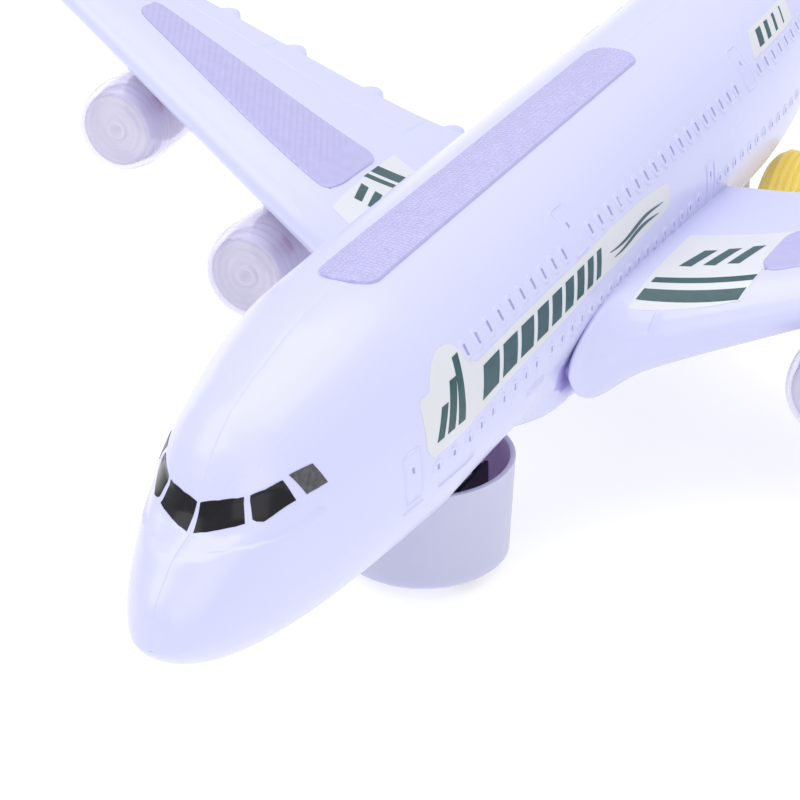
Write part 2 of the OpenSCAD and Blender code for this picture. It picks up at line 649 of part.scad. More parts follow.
module first_gear() {
    color(white) at_turret() {
        gear_at(plane_second, first_at, small_n, second_dir + 180 + half_tooth, arbor_r + run_gap);
        translate([0, first_at[0], first_at[1]]) along_x(plane_second + gear_w - 0.05, 0.4)
            difference() {
                circle(r = 1.3, $fn = 48);
                circle(r = arbor_r + run_gap, $fn = 48);
            }
        gear_at(plane_first, first_at, big_n, first_dir, arbor_r + run_gap);
    }
}
module motor_pinion() {
    color("goldenrod") at_turret()
        gear_at(plane_first, motor_at, small_n, first_dir + 180 + half_tooth, arbor_r);
}
module motor_shaft() {
    color(steel) at_turret() rod_x(-11, plane_first + gear_w, motor_at, arbor_r, 48);
}
module drive_motor() {
    color(steel) at_turret() translate([0, motor_at[0], motor_at[1]]) difference() {
        union() {
            along_x(-12, 15.2) intersection() {
                circle(r = 6, $fn = 96);
                square([12, 10], center = true);
            }
            along_x(3.1, 1.1) circle(r = 1.5, $fn = 48);
        }
        along_x(-13, 20) circle(r = arbor_r + run_gap, $fn = 48);
    }
}
frame_posts = [[-7.5, 22], [9.5, 23], [9.5, 6.5]];
module gearbox_frame() {
    color(black) at_turret() difference() {
        union() {
            for (x = [3.4, 11.7]) translate([x, -9, base_top_z]) cube([1, 20, 20.6]);
            for (p = frame_posts) rod_x(4, 12, p, 1.5, 48);
        }
        rod_x(3, 13, axle_at, axle_r + run_gap);
        rod_x(3, 13, second_at, arbor_r);
        rod_x(3, 13, first_at, arbor_r);
        rod_x(3, 5, motor_at, 1.6);
    }
}
module gear_arbors() {
    color(steel) at_turret() {
        rod_x(3.45, 12.65, second_at, arbor_r, 48);
        rod_x(3.45, 12.65, first_at, arbor_r, 48);
    }
}
module drive_axle() {
    color(steel) at_turret() rod_x(-16, 16, axle_at, axle_r);
}
tyre_depth = 1.5;
module drive_wheels() {
    color(yellow) at_turret() for (x = [-16, 13]) translate([x, axle_at[0], axle_at[1]])
        along_x(0, 3) difference() {
            circle(r = drive_wheel_r - tyre_depth, $fn = 96);
            circle(r = axle_r, $fn = 64);
        }
}
module drive_tyres() {
    color(black) at_turret() for (x = [-16, 13]) translate([x, axle_at[0], axle_at[1]])
        along_x(0, 3) difference() {
            circle(r = drive_wheel_r, $fn = 96);
            circle(r = drive_wheel_r - tyre_depth, $fn = 96);
        }
}

// ---------------------------------------------------------------- rear wheels
rear_axle_r = 1.5;
rear_y = y0 + rear_axle_s;
rear_in_x = 20.5;
rear_w = 21;
cheek_x = 13;
bracket_top_z = axis_z + belly_h(rear_axle_s - 8) - 0.4;
module rear_axle_bracket() {
    color(white) difference() {
        union() {
            translate([-11, rear_y - 8, bracket_top_z - 2]) cube([22, 16, 2]);
            for (side = [-1, 1]) translate([side * (cheek_x - 1.5) - 1.5, rear_y - 5, rear_wheel_r])
                cube([3, 10, bracket_top_z - rear_wheel_r]);
            for (side = [-1, 1]) rod_x(side * (cheek_x - 1.5) - 2.4, side * (cheek_x - 1.5) + 2.4,
                [rear_y, rear_wheel_r], 5);
        }
        rod_x(-20, 20, [rear_y, rear_wheel_r], rear_axle_r + run_gap);
        for (d = [-5, 5]) translate([0, rear_y + d, bracket_top_z - 4]) cylinder(h = 6, r = 1.2, $fn = 32);
    }
}
module rear_bracket_screws() {
    color(steel) for (d = [-5, 5]) translate([0, rear_y + d, bracket_top_z - 2]) mirror([0, 0, 1]) {
        cylinder(h = 1.2, r = 2.1, $fn = 48);
        translate([0, 0, -1.9]) cylinder(h = 2, r = screw_r, $fn = 32);
    }
}
module rear_axle() {
    color(steel) rod_x(-40.5, 40.5, [rear_y, rear_wheel_r], rear_axle_r);
}
// Barrel shaped wheel with grooves around its tread
groove_n = 5;
module rear_wheel() {
    r = rear_wheel_r;
    pitch = (rear_w - 9) / groove_n;
    translate([rear_in_x, rear_y, r]) rotate([0, 90, 0]) rotate_extrude($fn = 128) polygon(concat(
        [[rear_axle_r, 0], [5, 0], [5, 1.5], [r - 6, 1.5],
            [r - 5.2, 0], [r - 3.4, 0.5], [r - 1.4, 2.2], [r - 0.4, 4.2]],
        [for (k = [0:groove_n - 1]) let (z = 4.5 + k * pitch) each
            [[r, z + 0.2], [r, z + pitch - 0.9], [r - 0.8, z + pitch - 0.6], [r - 0.8, z + pitch - 0.1]]],
        [[r - 0.4, rear_w - 4.2], [r - 1.4, rear_w - 2.2], [r - 3.4, rear_w - 0.5], [r - 5.2, rear_w],
            [r - 6, rear_w - 1.5], [5, rear_w - 1.5], [5, rear_w], [rear_axle_r, rear_w]]
    ));
}
module rear_wheel_left() {
    color(yellow) rear_wheel();
}
module rear_wheel_right() {
    color(yellow) mirror([1, 0, 0]) rear_wheel();
}

fuselage_left_shell();
fuselage_right_shell();
top_light_lens();
belly_fairing();
wing_left_upper_shell();
wing_left_lower_shell();
wing_left_lens();
wing_right_upper_shell();
wing_right_lower_shell();
wing_right_lens();
engine_left_inner_nacelle();
engine_left_outer_nacelle();
engine_right_inner_nacelle();
engine_right_outer_nacelle();
engine_front_lenses();
engine_led_boards();
engine_leds();
tail_fin();
tailplane_left();
tailplane_right();
battery_tray();
battery_cells();
battery_contacts();
battery_springs();
battery_door();
battery_door_screw();
circuit_board();
sound_chip();
speaker();
top_led_board();
top_leds();
wing_led_boards();
wing_leds();
switch_bezel();
switch_body();
power_switch_slider();
turret_bearing();
turret_crossbar();
turret_cup();
turret_washer();
turret_pivot_screw();
turret_cup_screws();
gearbox_frame();
gear_arbors();
drive_motor();
motor_shaft();
motor_pinion();
first_gear();
second_gear();
axle_gear();
drive_axle();
drive_wheels();
drive_tyres();
rear_axle_bracket();
rear_bracket_screws();
rear_axle();
rear_wheel_left();
rear_wheel_right();
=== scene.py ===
"""Looks of the toy airliner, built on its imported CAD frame. Lengths here are millimetres:
s is the distance behind the nose, a the angle round the fuselage from its top."""
import math
import bpy
import numpy as np
from mathutils import Matrix, Vector


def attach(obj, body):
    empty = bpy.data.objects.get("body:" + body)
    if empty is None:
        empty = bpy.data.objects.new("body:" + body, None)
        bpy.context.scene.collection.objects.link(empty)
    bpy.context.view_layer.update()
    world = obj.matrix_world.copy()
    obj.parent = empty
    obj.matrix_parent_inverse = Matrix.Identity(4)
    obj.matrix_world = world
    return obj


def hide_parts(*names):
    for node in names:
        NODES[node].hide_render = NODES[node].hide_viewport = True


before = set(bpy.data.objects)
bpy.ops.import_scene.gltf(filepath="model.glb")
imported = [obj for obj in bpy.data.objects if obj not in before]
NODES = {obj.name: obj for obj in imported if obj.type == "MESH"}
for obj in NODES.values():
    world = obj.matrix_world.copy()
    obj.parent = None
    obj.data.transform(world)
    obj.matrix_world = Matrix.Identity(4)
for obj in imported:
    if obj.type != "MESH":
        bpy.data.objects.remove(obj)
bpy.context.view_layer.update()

AXIS_Z = 62.3            # height of the cabin's axis above the floor
Y0 = -220.0              # Y of the tip of the nose
WALL = 1.6               # thickness of the moulded shells
FILM, SUNK = 0.07, 0.05  # a film's face above its base, and how far it reaches below it


# ------------------------------------------------------------------ materials
def material(name, color, rough=0.35, vary=0.03, scale=160.0, bump=0.0, bump_scale=900.0,
             rough_vary=0.06, **sockets):
    """Principled plastic, metal or glass with soft procedural variation."""
    mat = bpy.data.materials.new(name)
    mat.use_nodes = True
    tree = mat.node_tree
    shader = tree.nodes["Principled BSDF"]
    coord = tree.nodes.new("ShaderNodeTexCoord")
    noise = tree.nodes.new("ShaderNodeTexNoise")
    noise.inputs["Scale"].default_value = scale
    noise.inputs["Detail"].default_value = 3.0
    tree.links.new(coord.outputs["Object"], noise.inputs["Vector"])
    ramp = tree.nodes.new("ShaderNodeValToRGB")
    lo = [max(0.0, c * (1 - vary)) for c in color]
    hi = [min(1.0, c * (1 + vary)) for c in color]
    ramp.color_ramp.elements[0].position = 0.3
    ramp.color_ramp.elements[0].color = (*lo, 1)
    ramp.color_ramp.elements[1].position = 0.7
    ramp.color_ramp.elements[1].color = (*hi, 1)
    tree.links.new(noise.outputs["Fac"], ramp.inputs["Fac"])
    tree.links.new(ramp.outputs["Color"], shader.inputs["Base Color"])
    span = tree.nodes.new("ShaderNodeMapRange")
    span.inputs["To Min"].default_value = max(0.02, rough - rough_vary)
    span.inputs["To Max"].default_value = min(1.0, rough + rough_vary)
    tree.links.new(noise.outputs["Fac"], span.inputs["Value"])
    tree.links.new(span.outputs["Result"], shader.inputs["Roughness"])
    if bump:
        grain = tree.nodes.new("ShaderNodeTexNoise")
        grain.inputs["Scale"].default_value = bump_scale
        grain.inputs["Detail"].default_value = 4.0
        tree.links.new(coord.outputs["Object"], grain.inputs["Vector"])
        node = tree.nodes.new("ShaderNodeBump")
        node.inputs["Strength"].default_value = bump
        node.inputs["Distance"].default_value = 0.0002
        tree.links.new(grain.outputs["Fac"], node.inputs["Height"])
        tree.links.new(node.outputs["Normal"], shader.inputs["Normal"])
    for key, value in sockets.items():
        shader.inputs[key.replace("_", " ")].default_value = value
    return mat


M = {
    "shell": material("shell_plastic", (0.583, 0.593, 0.835), 0.27, 0.003, 25.0, 0.03, 500.0,
                      rough_vary=0.015, Coat_Weight=0.15, Coat_Roughness=0.22),
    "cup": material("cup_plastic", (0.53, 0.53, 0.73), 0.30, 0.006, 25.0, 0.03, 500.0,
                    rough_vary=0.015, Subsurface_Weight=0.6, Subsurface_Scale=0.006,
                    Subsurface_Radius=(1.0, 0.74, 1.0)),
    "slit": material("slit_shadow", (0.32, 0.27, 0.52), 0.6, 0.05, 600.0),
    "groove": material("groove_shadow", (0.42, 0.37, 0.74), 0.45, 0.04, 200.0),
    "lens": material("lens_plastic", (0.50, 0.48, 0.80), 0.16, 0.03, 300.0,
                     Transmission_Weight=0.15, IOR=1.5, Coat_Weight=0.4, Coat_Roughness=0.08),
    "clear": material("clear_plastic", (0.80, 0.765, 0.98), 0.14, 0.01, 80.0, rough_vary=0.03,
                      Alpha=0.33, IOR=1.45, Coat_Weight=0.6, Coat_Roughness=0.06),
    "disc": material("clear_plastic_disc", (0.69, 0.66, 0.82), 0.14, 0.01, 80.0, rough_vary=0.03,
                     Alpha=0.62, IOR=1.45, Coat_Weight=0.8, Coat_Roughness=0.05),
    "decal": material("sticker_film", (0.65, 0.665, 0.70), 0.33, 0.015, 60.0, 0.12, 120.0),
    "ink": material("sticker_ink", (0.018, 0.075, 0.085), 0.30, 0.15, 500.0, 0.1, 300.0),
    "pane": material("pane_film", (0.004, 0.004, 0.007), 0.26, 0.3, 400.0, 0.12, 700.0,
                     Specular_IOR_Level=0.28, Coat_Weight=0.12, Coat_Roughness=0.05),
    "pane_grey": material("pane_film_grey", (0.075, 0.075, 0.085), 0.35, 0.3, 900.0, 0.2, 900.0),
    "yellow": material("wheel_plastic", (1.0, 0.79, 0.17), 0.36, 0.012, 60.0, 0.05, 500.0),
    "black": material("black_plastic", (0.012, 0.012, 0.014), 0.38, 0.25, 300.0, 0.15, 900.0),
    "gear": material("gear_nylon", (0.70, 0.69, 0.64), 0.42, 0.04, 300.0, 0.1, 900.0,
                     Subsurface_Weight=0.1),
    "brass": material("pinion_brass", (0.75, 0.52, 0.20), 0.25, 0.08, 900.0, Metallic=1.0),
    "steel": material("bright_steel", (0.60, 0.61, 0.63), 0.24, 0.08, 700.0, 0.1, 1500.0,
                      Metallic=1.0),
    "can": material("motor_can", (0.66, 0.66, 0.67), 0.30, 0.05, 400.0, 0.1, 1200.0, Metallic=1.0),
    "contact": material("nickel_contact", (0.72, 0.72, 0.73), 0.16, 0.05, 500.0, Metallic=1.0),
    "tyre": material("tyre_rubber", (0.018, 0.018, 0.019), 0.72, 0.2, 600.0, 0.5, 1600.0),
    "board": material("board_green", (0.02, 0.14, 0.06), 0.30, 0.1, 500.0, 0.15, 900.0,
                      Coat_Weight=0.3),
    "board_white": material("board_white", (0.62, 0.57, 0.64), 0.35, 0.03, 300.0, 0.1, 900.0),
    "chip": material("chip_epoxy", (0.012, 0.012, 0.013), 0.5, 0.2, 500.0, 0.1, 900.0),
    "led": material("led_red", (0.55, 0.03, 0.04), 0.15, 0.05, 300.0, Transmission_Weight=0.3,
                    IOR=1.5, Coat_Weight=0.4),
    "cell": material("cell_wrap", (0.62, 0.24, 0.04), 0.28, 0.06, 200.0, Coat_Weight=0.4),
    "speaker": material("speaker_paper", (0.03, 0.03, 0.032), 0.7, 0.2, 700.0, 0.3, 900.0),
    "switch": material("switch_red", (0.55, 0.03, 0.03), 0.38, 0.05, 400.0, 0.1, 900.0),
    "floor": material("floor_white", (0.55, 0.55, 0.55), 0.9, 0.004, 3.0),
}
# The floor glows a little, so that it renders as plain white
glow = M["floor"].node_tree.nodes["Principled BSDF"]
glow.inputs["Emission Color"].default_value = (1, 1, 1, 1)
glow.inputs["Emission Strength"].default_value = 0.57

# CAD nodes that show as they are, by material
CAD_LOOKS = {
    "shell": ["battery_door", "turret_bearing", "rear_axle_bracket"], "cup": ["turret_cup"],
    "board_white": ["engine_led_boards"],
    "board": ["circuit_board", "top_led_board", "wing_led_boards"],
    "led": ["engine_leds", "top_leds", "wing_leds"],
    "black": ["battery_tray", "switch_bezel", "turret_crossbar", "gearbox_frame"],
    "cell": ["battery_cells"],
    "contact": ["battery_contacts", "battery_springs", "switch_body"],
    "steel": ["battery_door_screw", "turret_washer", "turret_pivot_screw", "turret_cup_screws",
              "gear_arbors", "motor_shaft", "drive_axle", "rear_bracket_screws", "rear_axle"],
    "chip": ["sound_chip"], "speaker": ["speaker"], "switch": ["power_switch_slider"],
    "can": ["drive_motor"], "brass": ["motor_pinion"],
    "gear": ["first_gear", "second_gear", "axle_gear"],
    "yellow": ["drive_wheels", "rear_wheel_left", "rear_wheel_right"], "tyre": ["drive_tyres"],
}
for look, names in CAD_LOOKS.items():
    for name in names:
        data = NODES[name].data
        data.materials.clear()
        data.materials.append(M[look])


# ------------------------------------------------------------------ mesh building
def make(name, points, faces, mats, body="airframe", slot="shell_white", replaces=(),
         face_mat=None, sharp=32.0):
    """A mesh piece from points in millimetres. Closed meshes are turned outside out."""
    points = np.asarray(points, float)
    faces = np.asarray(faces, int)
    used = np.zeros(len(points), bool)
    used[faces.ravel()] = True
    index = np.cumsum(used) - 1
    points, faces = points[used], index[faces]
    a, b, c = points[faces[:, 0]], points[faces[:, 1]], points[faces[:, 2]]
    volume = np.einsum("ij,ij->i", a, np.cross(b, c)).sum()
    if faces.shape[1] == 4:
        d = points[faces[:, 3]]
        volume += np.einsum("ij,ij->i", a, np.cross(c, d)).sum()
    if volume < 0:
        faces = faces[:, ::-1]
    mesh = bpy.data.meshes.new(name)
    mesh.vertices.add(len(points))
    mesh.vertices.foreach_set("co", (points * 0.001).astype(np.float32).ravel())
    n = faces.shape[1]
    mesh.loops.add(faces.size)
    mesh.loops.foreach_set("vertex_index", faces.astype(np.int32).ravel())
    mesh.polygons.add(len(faces))
    mesh.polygons.foreach_set("loop_start", np.arange(0, faces.size, n, dtype=np.int32))
    for mat in mats:
        mesh.materials.append(M[mat])
    if face_mat is not None:
        mesh.polygons.foreach_set("material_index", np.asarray(face_mat, np.int32))
    mesh.update(calc_edges=True)
    mesh.validate()
    mesh.shade_smooth()
    mesh.set_sharp_from_angle(angle=math.radians(sharp))
    obj = bpy.data.objects.new(name, mesh)
    bpy.context.scene.collection.objects.link(obj)
    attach(obj, body)
    if replaces:
        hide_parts(*replaces)
    return obj


def shell_faces(ni, nj, keep=None):
    """Quads of a closed shell between two ni by nj grids, with walls round its openings."""
    keep = np.ones((ni - 1, nj - 1), bool) if keep is None else keep
    n = ni * nj
    ids = np.arange(n).reshape(ni, nj)
    a, b, c, d = ids[:-1, :-1], ids[:-1, 1:], ids[1:, 1:], ids[1:, :-1]
    out = [np.stack([a, b, c, d], -1)[keep], np.stack([a, d, c, b], -1)[keep] + n]
    pad = np.pad(keep, 1)
    for di, dj, p, q in ((-1, 0, a, b), (1, 0, c, d), (0, -1, d, a), (0, 1, b, c)):
        edge = keep & ~pad[1 + di:1 + di + keep.shape[0], 1 + dj:1 + dj + keep.shape[1]]
        p, q = p[edge], q[edge]
        out.append(np.stack([q, p, p + n, q + n], -1))
    return np.concatenate(out), [len(o) for o in out]


def shell(name, outer, inner, mats=("shell",), keep=None, face_mat=None, **extra):
    """A piece between an outer and an inner grid; keep and face_mat go by outer face."""
    ni, nj = outer.shape[:2]
    faces, counts = shell_faces(ni, nj, keep)
    points = np.concatenate([outer.reshape(-1, 3), inner.reshape(-1, 3)])
    marks = None
    if face_mat is not None:
        kept = face_mat if keep is None else face_mat[keep]
        marks = np.concatenate([kept.ravel(), np.zeros(sum(counts[1:]), int)])
    return make(name, points, faces, mats, face_mat=marks, **extra)


def mirrored(points):
    return points * np.array([-1.0, 1.0, 1.0])


def shell_pair(names, nodes, outer, inner, *args, **extra):
    """The same shell on both sides, port first."""
    shell(names[0], outer, inner, *args, replaces=[nodes[0]], **extra)
    shell(names[1], mirrored(outer), mirrored(inner), *args, replaces=[nodes[1]], **extra)


def tube_faces(m, n, closed=True):
    """Quads of a tube of m rings of n points; closed joins the last ring to the first."""
    i = np.arange(m if closed else m - 1)[:, None]
    j = np.arange(n)[None, :]
    k, l = (i + 1) % m, (j + 1) % n
    return np.stack([i * n + j, i * n + l, k * n + l, k * n + j], -1).reshape(-1, 4)


def lathe(profile, centre, n=96):
    """Turns (radius, length) about an axis along +Y through centre."""
    prof = np.asarray(profile, float)
    ang = np.linspace(0, 2 * np.pi, n, endpoint=False)
    r, t = prof[:, 0][:, None], prof[:, 1][:, None]
    pts = np.stack([r * np.cos(ang), t + 0 * ang, r * np.sin(ang)], -1) + np.array(centre)
    return pts.reshape(-1, 3), tube_faces(len(prof), n)


def join(parts):
    """One set of points and faces from several."""
    points, faces, base = [], [], 0
    for p, f in parts:
        points.append(np.asarray(p).reshape(-1, 3))
        faces.append(np.asarray(f) + base)
        base += len(points[-1])
    return np.concatenate(points), np.concatenate(faces)


def pchip(xs, ys):
    """Smooth curve through points, with no overshoot."""
    xs, ys = np.array(xs, float), np.array(ys, float)
    h = np.diff(xs)
    d = np.diff(ys) / h
    m = np.zeros(len(xs))
    for i in range(1, len(xs) - 1):
        if d[i - 1] * d[i] > 0:
            w1, w2 = 2 * h[i] + h[i - 1], h[i] + 2 * h[i - 1]
            m[i] = (w1 + w2) / (w1 / d[i - 1] + w2 / d[i])
    m[0] = d[0]

    def curve(x):
        x = np.clip(x, xs[0], xs[-1])
        i = np.clip(np.searchsorted(xs, x, side="right") - 1, 0, len(h) - 1)
        t = (x - xs[i]) / h[i]
        return ((1 + 2 * t) * (1 - t) ** 2 * ys[i] + t * (1 - t) ** 2 * h[i] * m[i]
                + t * t * (3 - 2 * t) * ys[i + 1] + t * t * (t - 1) * h[i] * m[i + 1])
    return curve


def clip01(v):
    return np.clip(v, 0.0, 1.0)


def smooth(v):
    v = clip01(v)
    return v * v * (3 - 2 * v)


def within(v, lo, hi):
    return (v > lo) & (v < hi)


def rounded(dx, dy, hx, hy, r):
    """Signed distance to a rounded rectangle."""
    qx, qy = np.abs(dx) - hx + r, np.abs(dy) - hy + r
    return np.minimum(np.maximum(qx, qy), 0) + np.hypot(np.maximum(qx, 0), np.maximum(qy, 0)) - r


def polygon_distance(px, py, corners):
    """Signed distance to a polygon, negative inside."""
    pts = np.asarray(corners, float)
    best = np.full(np.shape(px), 1e9)
    odd = np.zeros(np.shape(px), bool)
    for (x0, y0), (x1, y1) in zip(pts, np.roll(pts, -1, 0)):
        ex, ey = x1 - x0, y1 - y0
        t = clip01(((px - x0) * ex + (py - y0) * ey) / (ex * ex + ey * ey))
        best = np.minimum(best, np.hypot(px - x0 - t * ex, py - y0 - t * ey))
        if y0 != y1:
            odd ^= ((y0 > py) != (y1 > py)) & (px < ex * (py - y0) / ey + x0)
    return np.where(odd, -best, best)


# ------------------------------------------------------------------ fuselage surface
# Heights are above the cabin's axis, s is the station: the distance behind the nose
HALF_W = 31.0            # half width of the cabin
NOSE_H = -15.5           # height of the nose's tip
ROOF_H = 32.1            # height of the roof
TAPER_S, TAPER_L = 300, 140
NOSE_S = [0, 1.3, 5.4, 8.4, 10.2, 14, 18.5, 23, 28.4, 39, 53.5, 67, 82, 100]
top_line = pchip(NOSE_S, [-15.5, -8.8, -3.9, -1.3, 0.6, 4.4, 8.7, 12.8, 17.2, 23.9, 27.8, 30.6,
                          31.8, 32.1])
# The sill under the windscreen and the steep rise behind it, as a dent in the plain nose
sill_dent = pchip([0, 9.2, 12.5, 15.5, 18.0, 20.0, 22.0, 25.1, 29, 60],
                  [0, 0, -1.6, -3.5, -4.75, -4.6, -3.2, -1.3, 0, 0])
sill_back = pchip([0, 25, 41, 54, 63, 90], [0, 1.5, 4.2, 8.2, 13.2, 22])


def bulged(u, p, q):
    """Rounded rise from 0 to 1."""
    return np.maximum(1e-4, 1 - (1 - clip01(u)) ** p) ** (1 / q)


def taper(s):
    return clip01((s - TAPER_S) / TAPER_L)


def side_w(s):
    return HALF_W * bulged(s / 87.5, 1.08, 2.13) - 27.8 * taper(s) ** 1.9


def top_h(s):
    return np.where(s < 100, top_line(s), ROOF_H - 12 * taper(s) ** 2.2)


def belly_h(s):
    return NOSE_H - 16.6 * bulged(s / 68.3, 2.84, 1.53) + 46 * taper(s) ** 1.7


def wide_h(s):
    """Height at which the cabin is widest."""
    nose = np.minimum(NOSE_H * (1 - clip01(s / 117)) ** 1.6, top_h(s) - 0.05)
    return np.where(s > TAPER_S, (top_h(s) + belly_h(s)) / 2, nose)


def skin(s, a, out=0.0):
    """Point of the fuselage skin; a is in degrees and may be negative for starboard."""
    s, a = np.broadcast_arrays(np.asarray(s, float), np.radians(np.asarray(a, float)))
    c = wide_h(s)
    arm = np.where(np.cos(a) > 0, top_h(s) - c, c - belly_h(s))
    x = np.maximum(0.05, side_w(s) + out) * np.sin(a)
    z = AXIS_Z + c + np.maximum(0.05, arm + out) * np.cos(a)
    off = np.degrees(np.abs(np.arctan2(np.sin(a), np.cos(a))))
    z += sill_dent(s - sill_back(off)) * (1 - smooth((off - 12) / 52)) * (s < 62)
    return np.stack([x, Y0 + s, z], -1)


def flank_x(s, h):
    """Half width of the cabin at a station and height."""
    c = wide_h(s)
    arm = np.where(h > c, top_h(s) - c, c - belly_h(s))
    k = (h - c) / np.maximum(0.1, arm)
    return side_w(s) * np.sqrt(np.maximum(0, 1 - k * k))


MM_PER_DEG = 0.55        # arc length of a degree round the cabin
NOSE_MM_PER_DEG = 0.42   # the same round the nose
PITCH = 6.218            # from window to window
upper_windows = [94.9 + PITCH * k for k in range(10)] + [167.57 + PITCH * k for k in range(18)] \
    + [292.4 + PITCH * k for k in range(10)]
lower_windows = [75.02 + PITCH * k for k in range(9)] + [133.76 + PITCH * k for k in range(17)] \
    + [250.0 + PITCH * k for k in range(14)]
UPPER_A, LOWER_A = 59.0, 90.4
# doors: first station, last station, first angle, last angle, angle of the slit
doors = [(63.4, 69.5, 76.5, 98.0, 84.0), (155.6, 163.4, 41.0, 64.4, 50.8),
         (280.6, 287.4, 41.0, 64.4, 50.8), (240.6, 246.2, 78.0, 99.0, 84.5),
         (338.5, 344.3, 78.0, 99.0, 84.5)]
# small raised bars: first station, last station, angle
sills = [(62.8, 70.2, 101.6), (76.2, 91.2, 100.6), (76.2, 91.2, 102.4),
         (121.3, 130.7, 101.0), (121.3, 130.7, 102.8)]
# outline of the ledge under the windscreen, as (station, angle)
ledge = [(12.0, -30), (12.0, 0), (13.8, 22.9), (16.0, 39.5), (19.9, 53.6), (25.0, 63.3),
         (28.0, 66.4), (33.0, 69.6), (39.5, 70.5), (37.6, 61.6), (34.6, 58.4), (32.4, 45.4),
         (29.6, 39.6), (26.0, 31.2), (24.0, 22.0), (21.9, 0), (21.9, -30)]


def relief(s, a):
    """Height of the moulded detail above the plain skin, and where slits are."""
    a = np.abs(a)
    v = a * MM_PER_DEG
    d = np.zeros(np.shape(s))
    slit = np.zeros(np.shape(s), bool)
    # stations and angle, then half sizes and corner radius of the rim, then half sizes of the slit
    for stations, mid, hs, hv, r, ss, sv in (
            (upper_windows, UPPER_A, 1.9, 2.45, 1.75, 0.46, 1.36),
            (lower_windows, LOWER_A, 1.7, 1.5, 1.45, 0.42, 0.78)):
        st = np.array(stations)
        near = st[np.abs(s[..., None] - st).argmin(-1)]
        ds, dv = s - near, v - mid * MM_PER_DEG
        rim = rounded(ds, dv, hs, hv, r)
        hole = rounded(ds, dv, ss, sv, min(ss, sv) * 0.95)
        d += 0.30 * clip01((0.12 - rim) / 0.24)
        d -= 1.35 * clip01((0.05 - hole) / 0.12)
        slit |= hole < -0.04
    for s0, s1, a0, a1, a_slit in doors:
        rim = rounded(s - (s0 + s1) / 2, v - (a0 + a1) / 2 * MM_PER_DEG, (s1 - s0) / 2,
                      (a1 - a0) / 2 * MM_PER_DEG, 1.0)
        hole = rounded(s - (s0 + s1) / 2, v - a_slit * MM_PER_DEG, 0.42, 0.8, 0.4)
        d += 0.26 * clip01((0.34 - np.abs(rim)) / 0.18)
        d -= 1.3 * clip01((0.05 - hole) / 0.12)
        slit |= hole < -0.04
    for s0, s1, mid in sills:
        bar = rounded(s - (s0 + s1) / 2, v - mid * MM_PER_DEG, (s1 - s0) / 2, 0.28, 0.28)
        d += 0.34 * clip01((0.1 - bar) / 0.2)
    corners = [(p, q * NOSE_MM_PER_DEG) for p, q in ledge]
    inside = -polygon_distance(s, a * NOSE_MM_PER_DEG, corners)
    d -= 0.6 * smooth(inside / 1.0) * (s < 60) * smooth((a - 14) / 20)
    d -= 0.10 * clip01(1 - v / 0.22) * (s > 1)      # seam along the top
    return d, slit


def merged(values, gap):
    """Sorted values, without those closer than gap to the one before."""
    out = []
    for v in sorted(values):
        if not out or v - out[-1] >= gap:
            out.append(v)
    return np.array(out)


def around(centres, offsets):
    return [c + sign * o for c in centres for o in offsets for sign in (-1, 1)]


# The grid of the skin is finer where there is relief, and has a line on each edge of an opening
stations = [0, 0.2, 0.5, 0.9, 1.4, 2, 2.7, 3.5, 4.4, 5.4, 6.5, 7.6, 8.7, 9.7, 10.6]
stations += list(np.arange(11.2, 43, 0.42)) + list(np.arange(43, 62.5, 0.9))
stations += list(np.arange(62.5, 352, 2.3)) + list(np.arange(352, 437, 2.2))
stations += [438, 439, 439.6, 440]
stations += around(upper_windows, [0.39, 0.52, 0.95, 1.3, 1.6, 1.78, 2.02])
stations += around(lower_windows, [0.36, 0.48, 0.85, 1.2, 1.58, 1.82])
for s0, s1, *_ in doors:
    stations += around([s0, s1], [0.05, 0.2, 0.35]) + around([(s0 + s1) / 2], [0.36, 0.48])
for s0, s1, _ in sills:
    stations += [s0 - 0.1, s0 + 0.15, s1 - 0.15, s1 + 0.1]
LENS_S, DOOR_S, SWITCH_S = (90.5, 244.0), (167, 278), (282, 294)
TURRET_S = (127.7 - 8.0, 127.7 + 8.0)
edges_s = [*LENS_S, *DOOR_S, *TURRET_S, *SWITCH_S]
stations = [v for v in stations if min(abs(v - e) for e in edges_s) > 0.06]
stations = merged(stations + edges_s, 0.055)
LENS_A = 12.2
DOOR_A = 180 - math.degrees(math.asin(16 / HALF_W))
PLUG_A = 180 - math.degrees(math.asin(8.2 / HALF_W))
cabin_a = [0, 0.25, 0.6, 3, 6, 9, LENS_A, 15, 18, 22, 26, 30, 34, 38, 40.4, 40.7, 41.0, 41.3,
           41.6, 44, 47, 49.3, 49.6, 50.8, 52.0, 52.3, 63.8, 64.1, 64.4, 64.7, 65.0, 68, 72,
           75.9, 76.2, 76.5, 76.8, 77.1, 77.7, 78.0, 78.3, 80.5, 82.6, 83.1, 84.2, 85.3, 85.9,
           97.4, 97.7, 98.0, 98.3, 98.7, 99.0, 99.3, 100.1, 100.6, 101.0, 101.6, 102.3, 102.8,
           103.3, 104.5, 108, 113, 118, 123, 128, 133, 138, 143, DOOR_A, 154, 159, PLUG_A, 170,
           175, 179.7, 180]
for middle, steps in ((UPPER_A, (0.7, 1.1, 1.29, 1.42, 1.75, 2.05, 2.33, 2.57)),
                      (LOWER_A, (0.35, 0.71, 0.84, 1.1, 1.38, 1.62))):
    cabin_a += around([middle], [v / MM_PER_DEG for v in steps])
cabin_a = merged(cabin_a, 0.2)
nose_a = np.interp(np.linspace(0, 1, len(cabin_a)), [0, 0.02, 0.74, 1], [0, 0.6, 75, 180])
blend = smooth((stations - 43.5) / 15.0)[:, None]
S = np.repeat(stations[:, None], len(cabin_a), 1)
A = nose_a[None, :] * (1 - blend) + cabin_a[None, :] * blend
height, slit = relief(S, A)
outer = skin(S, A, height)
inner = skin(S, A, -WALL)
inner[..., 1] += WALL * clip01(1 - S / 30)
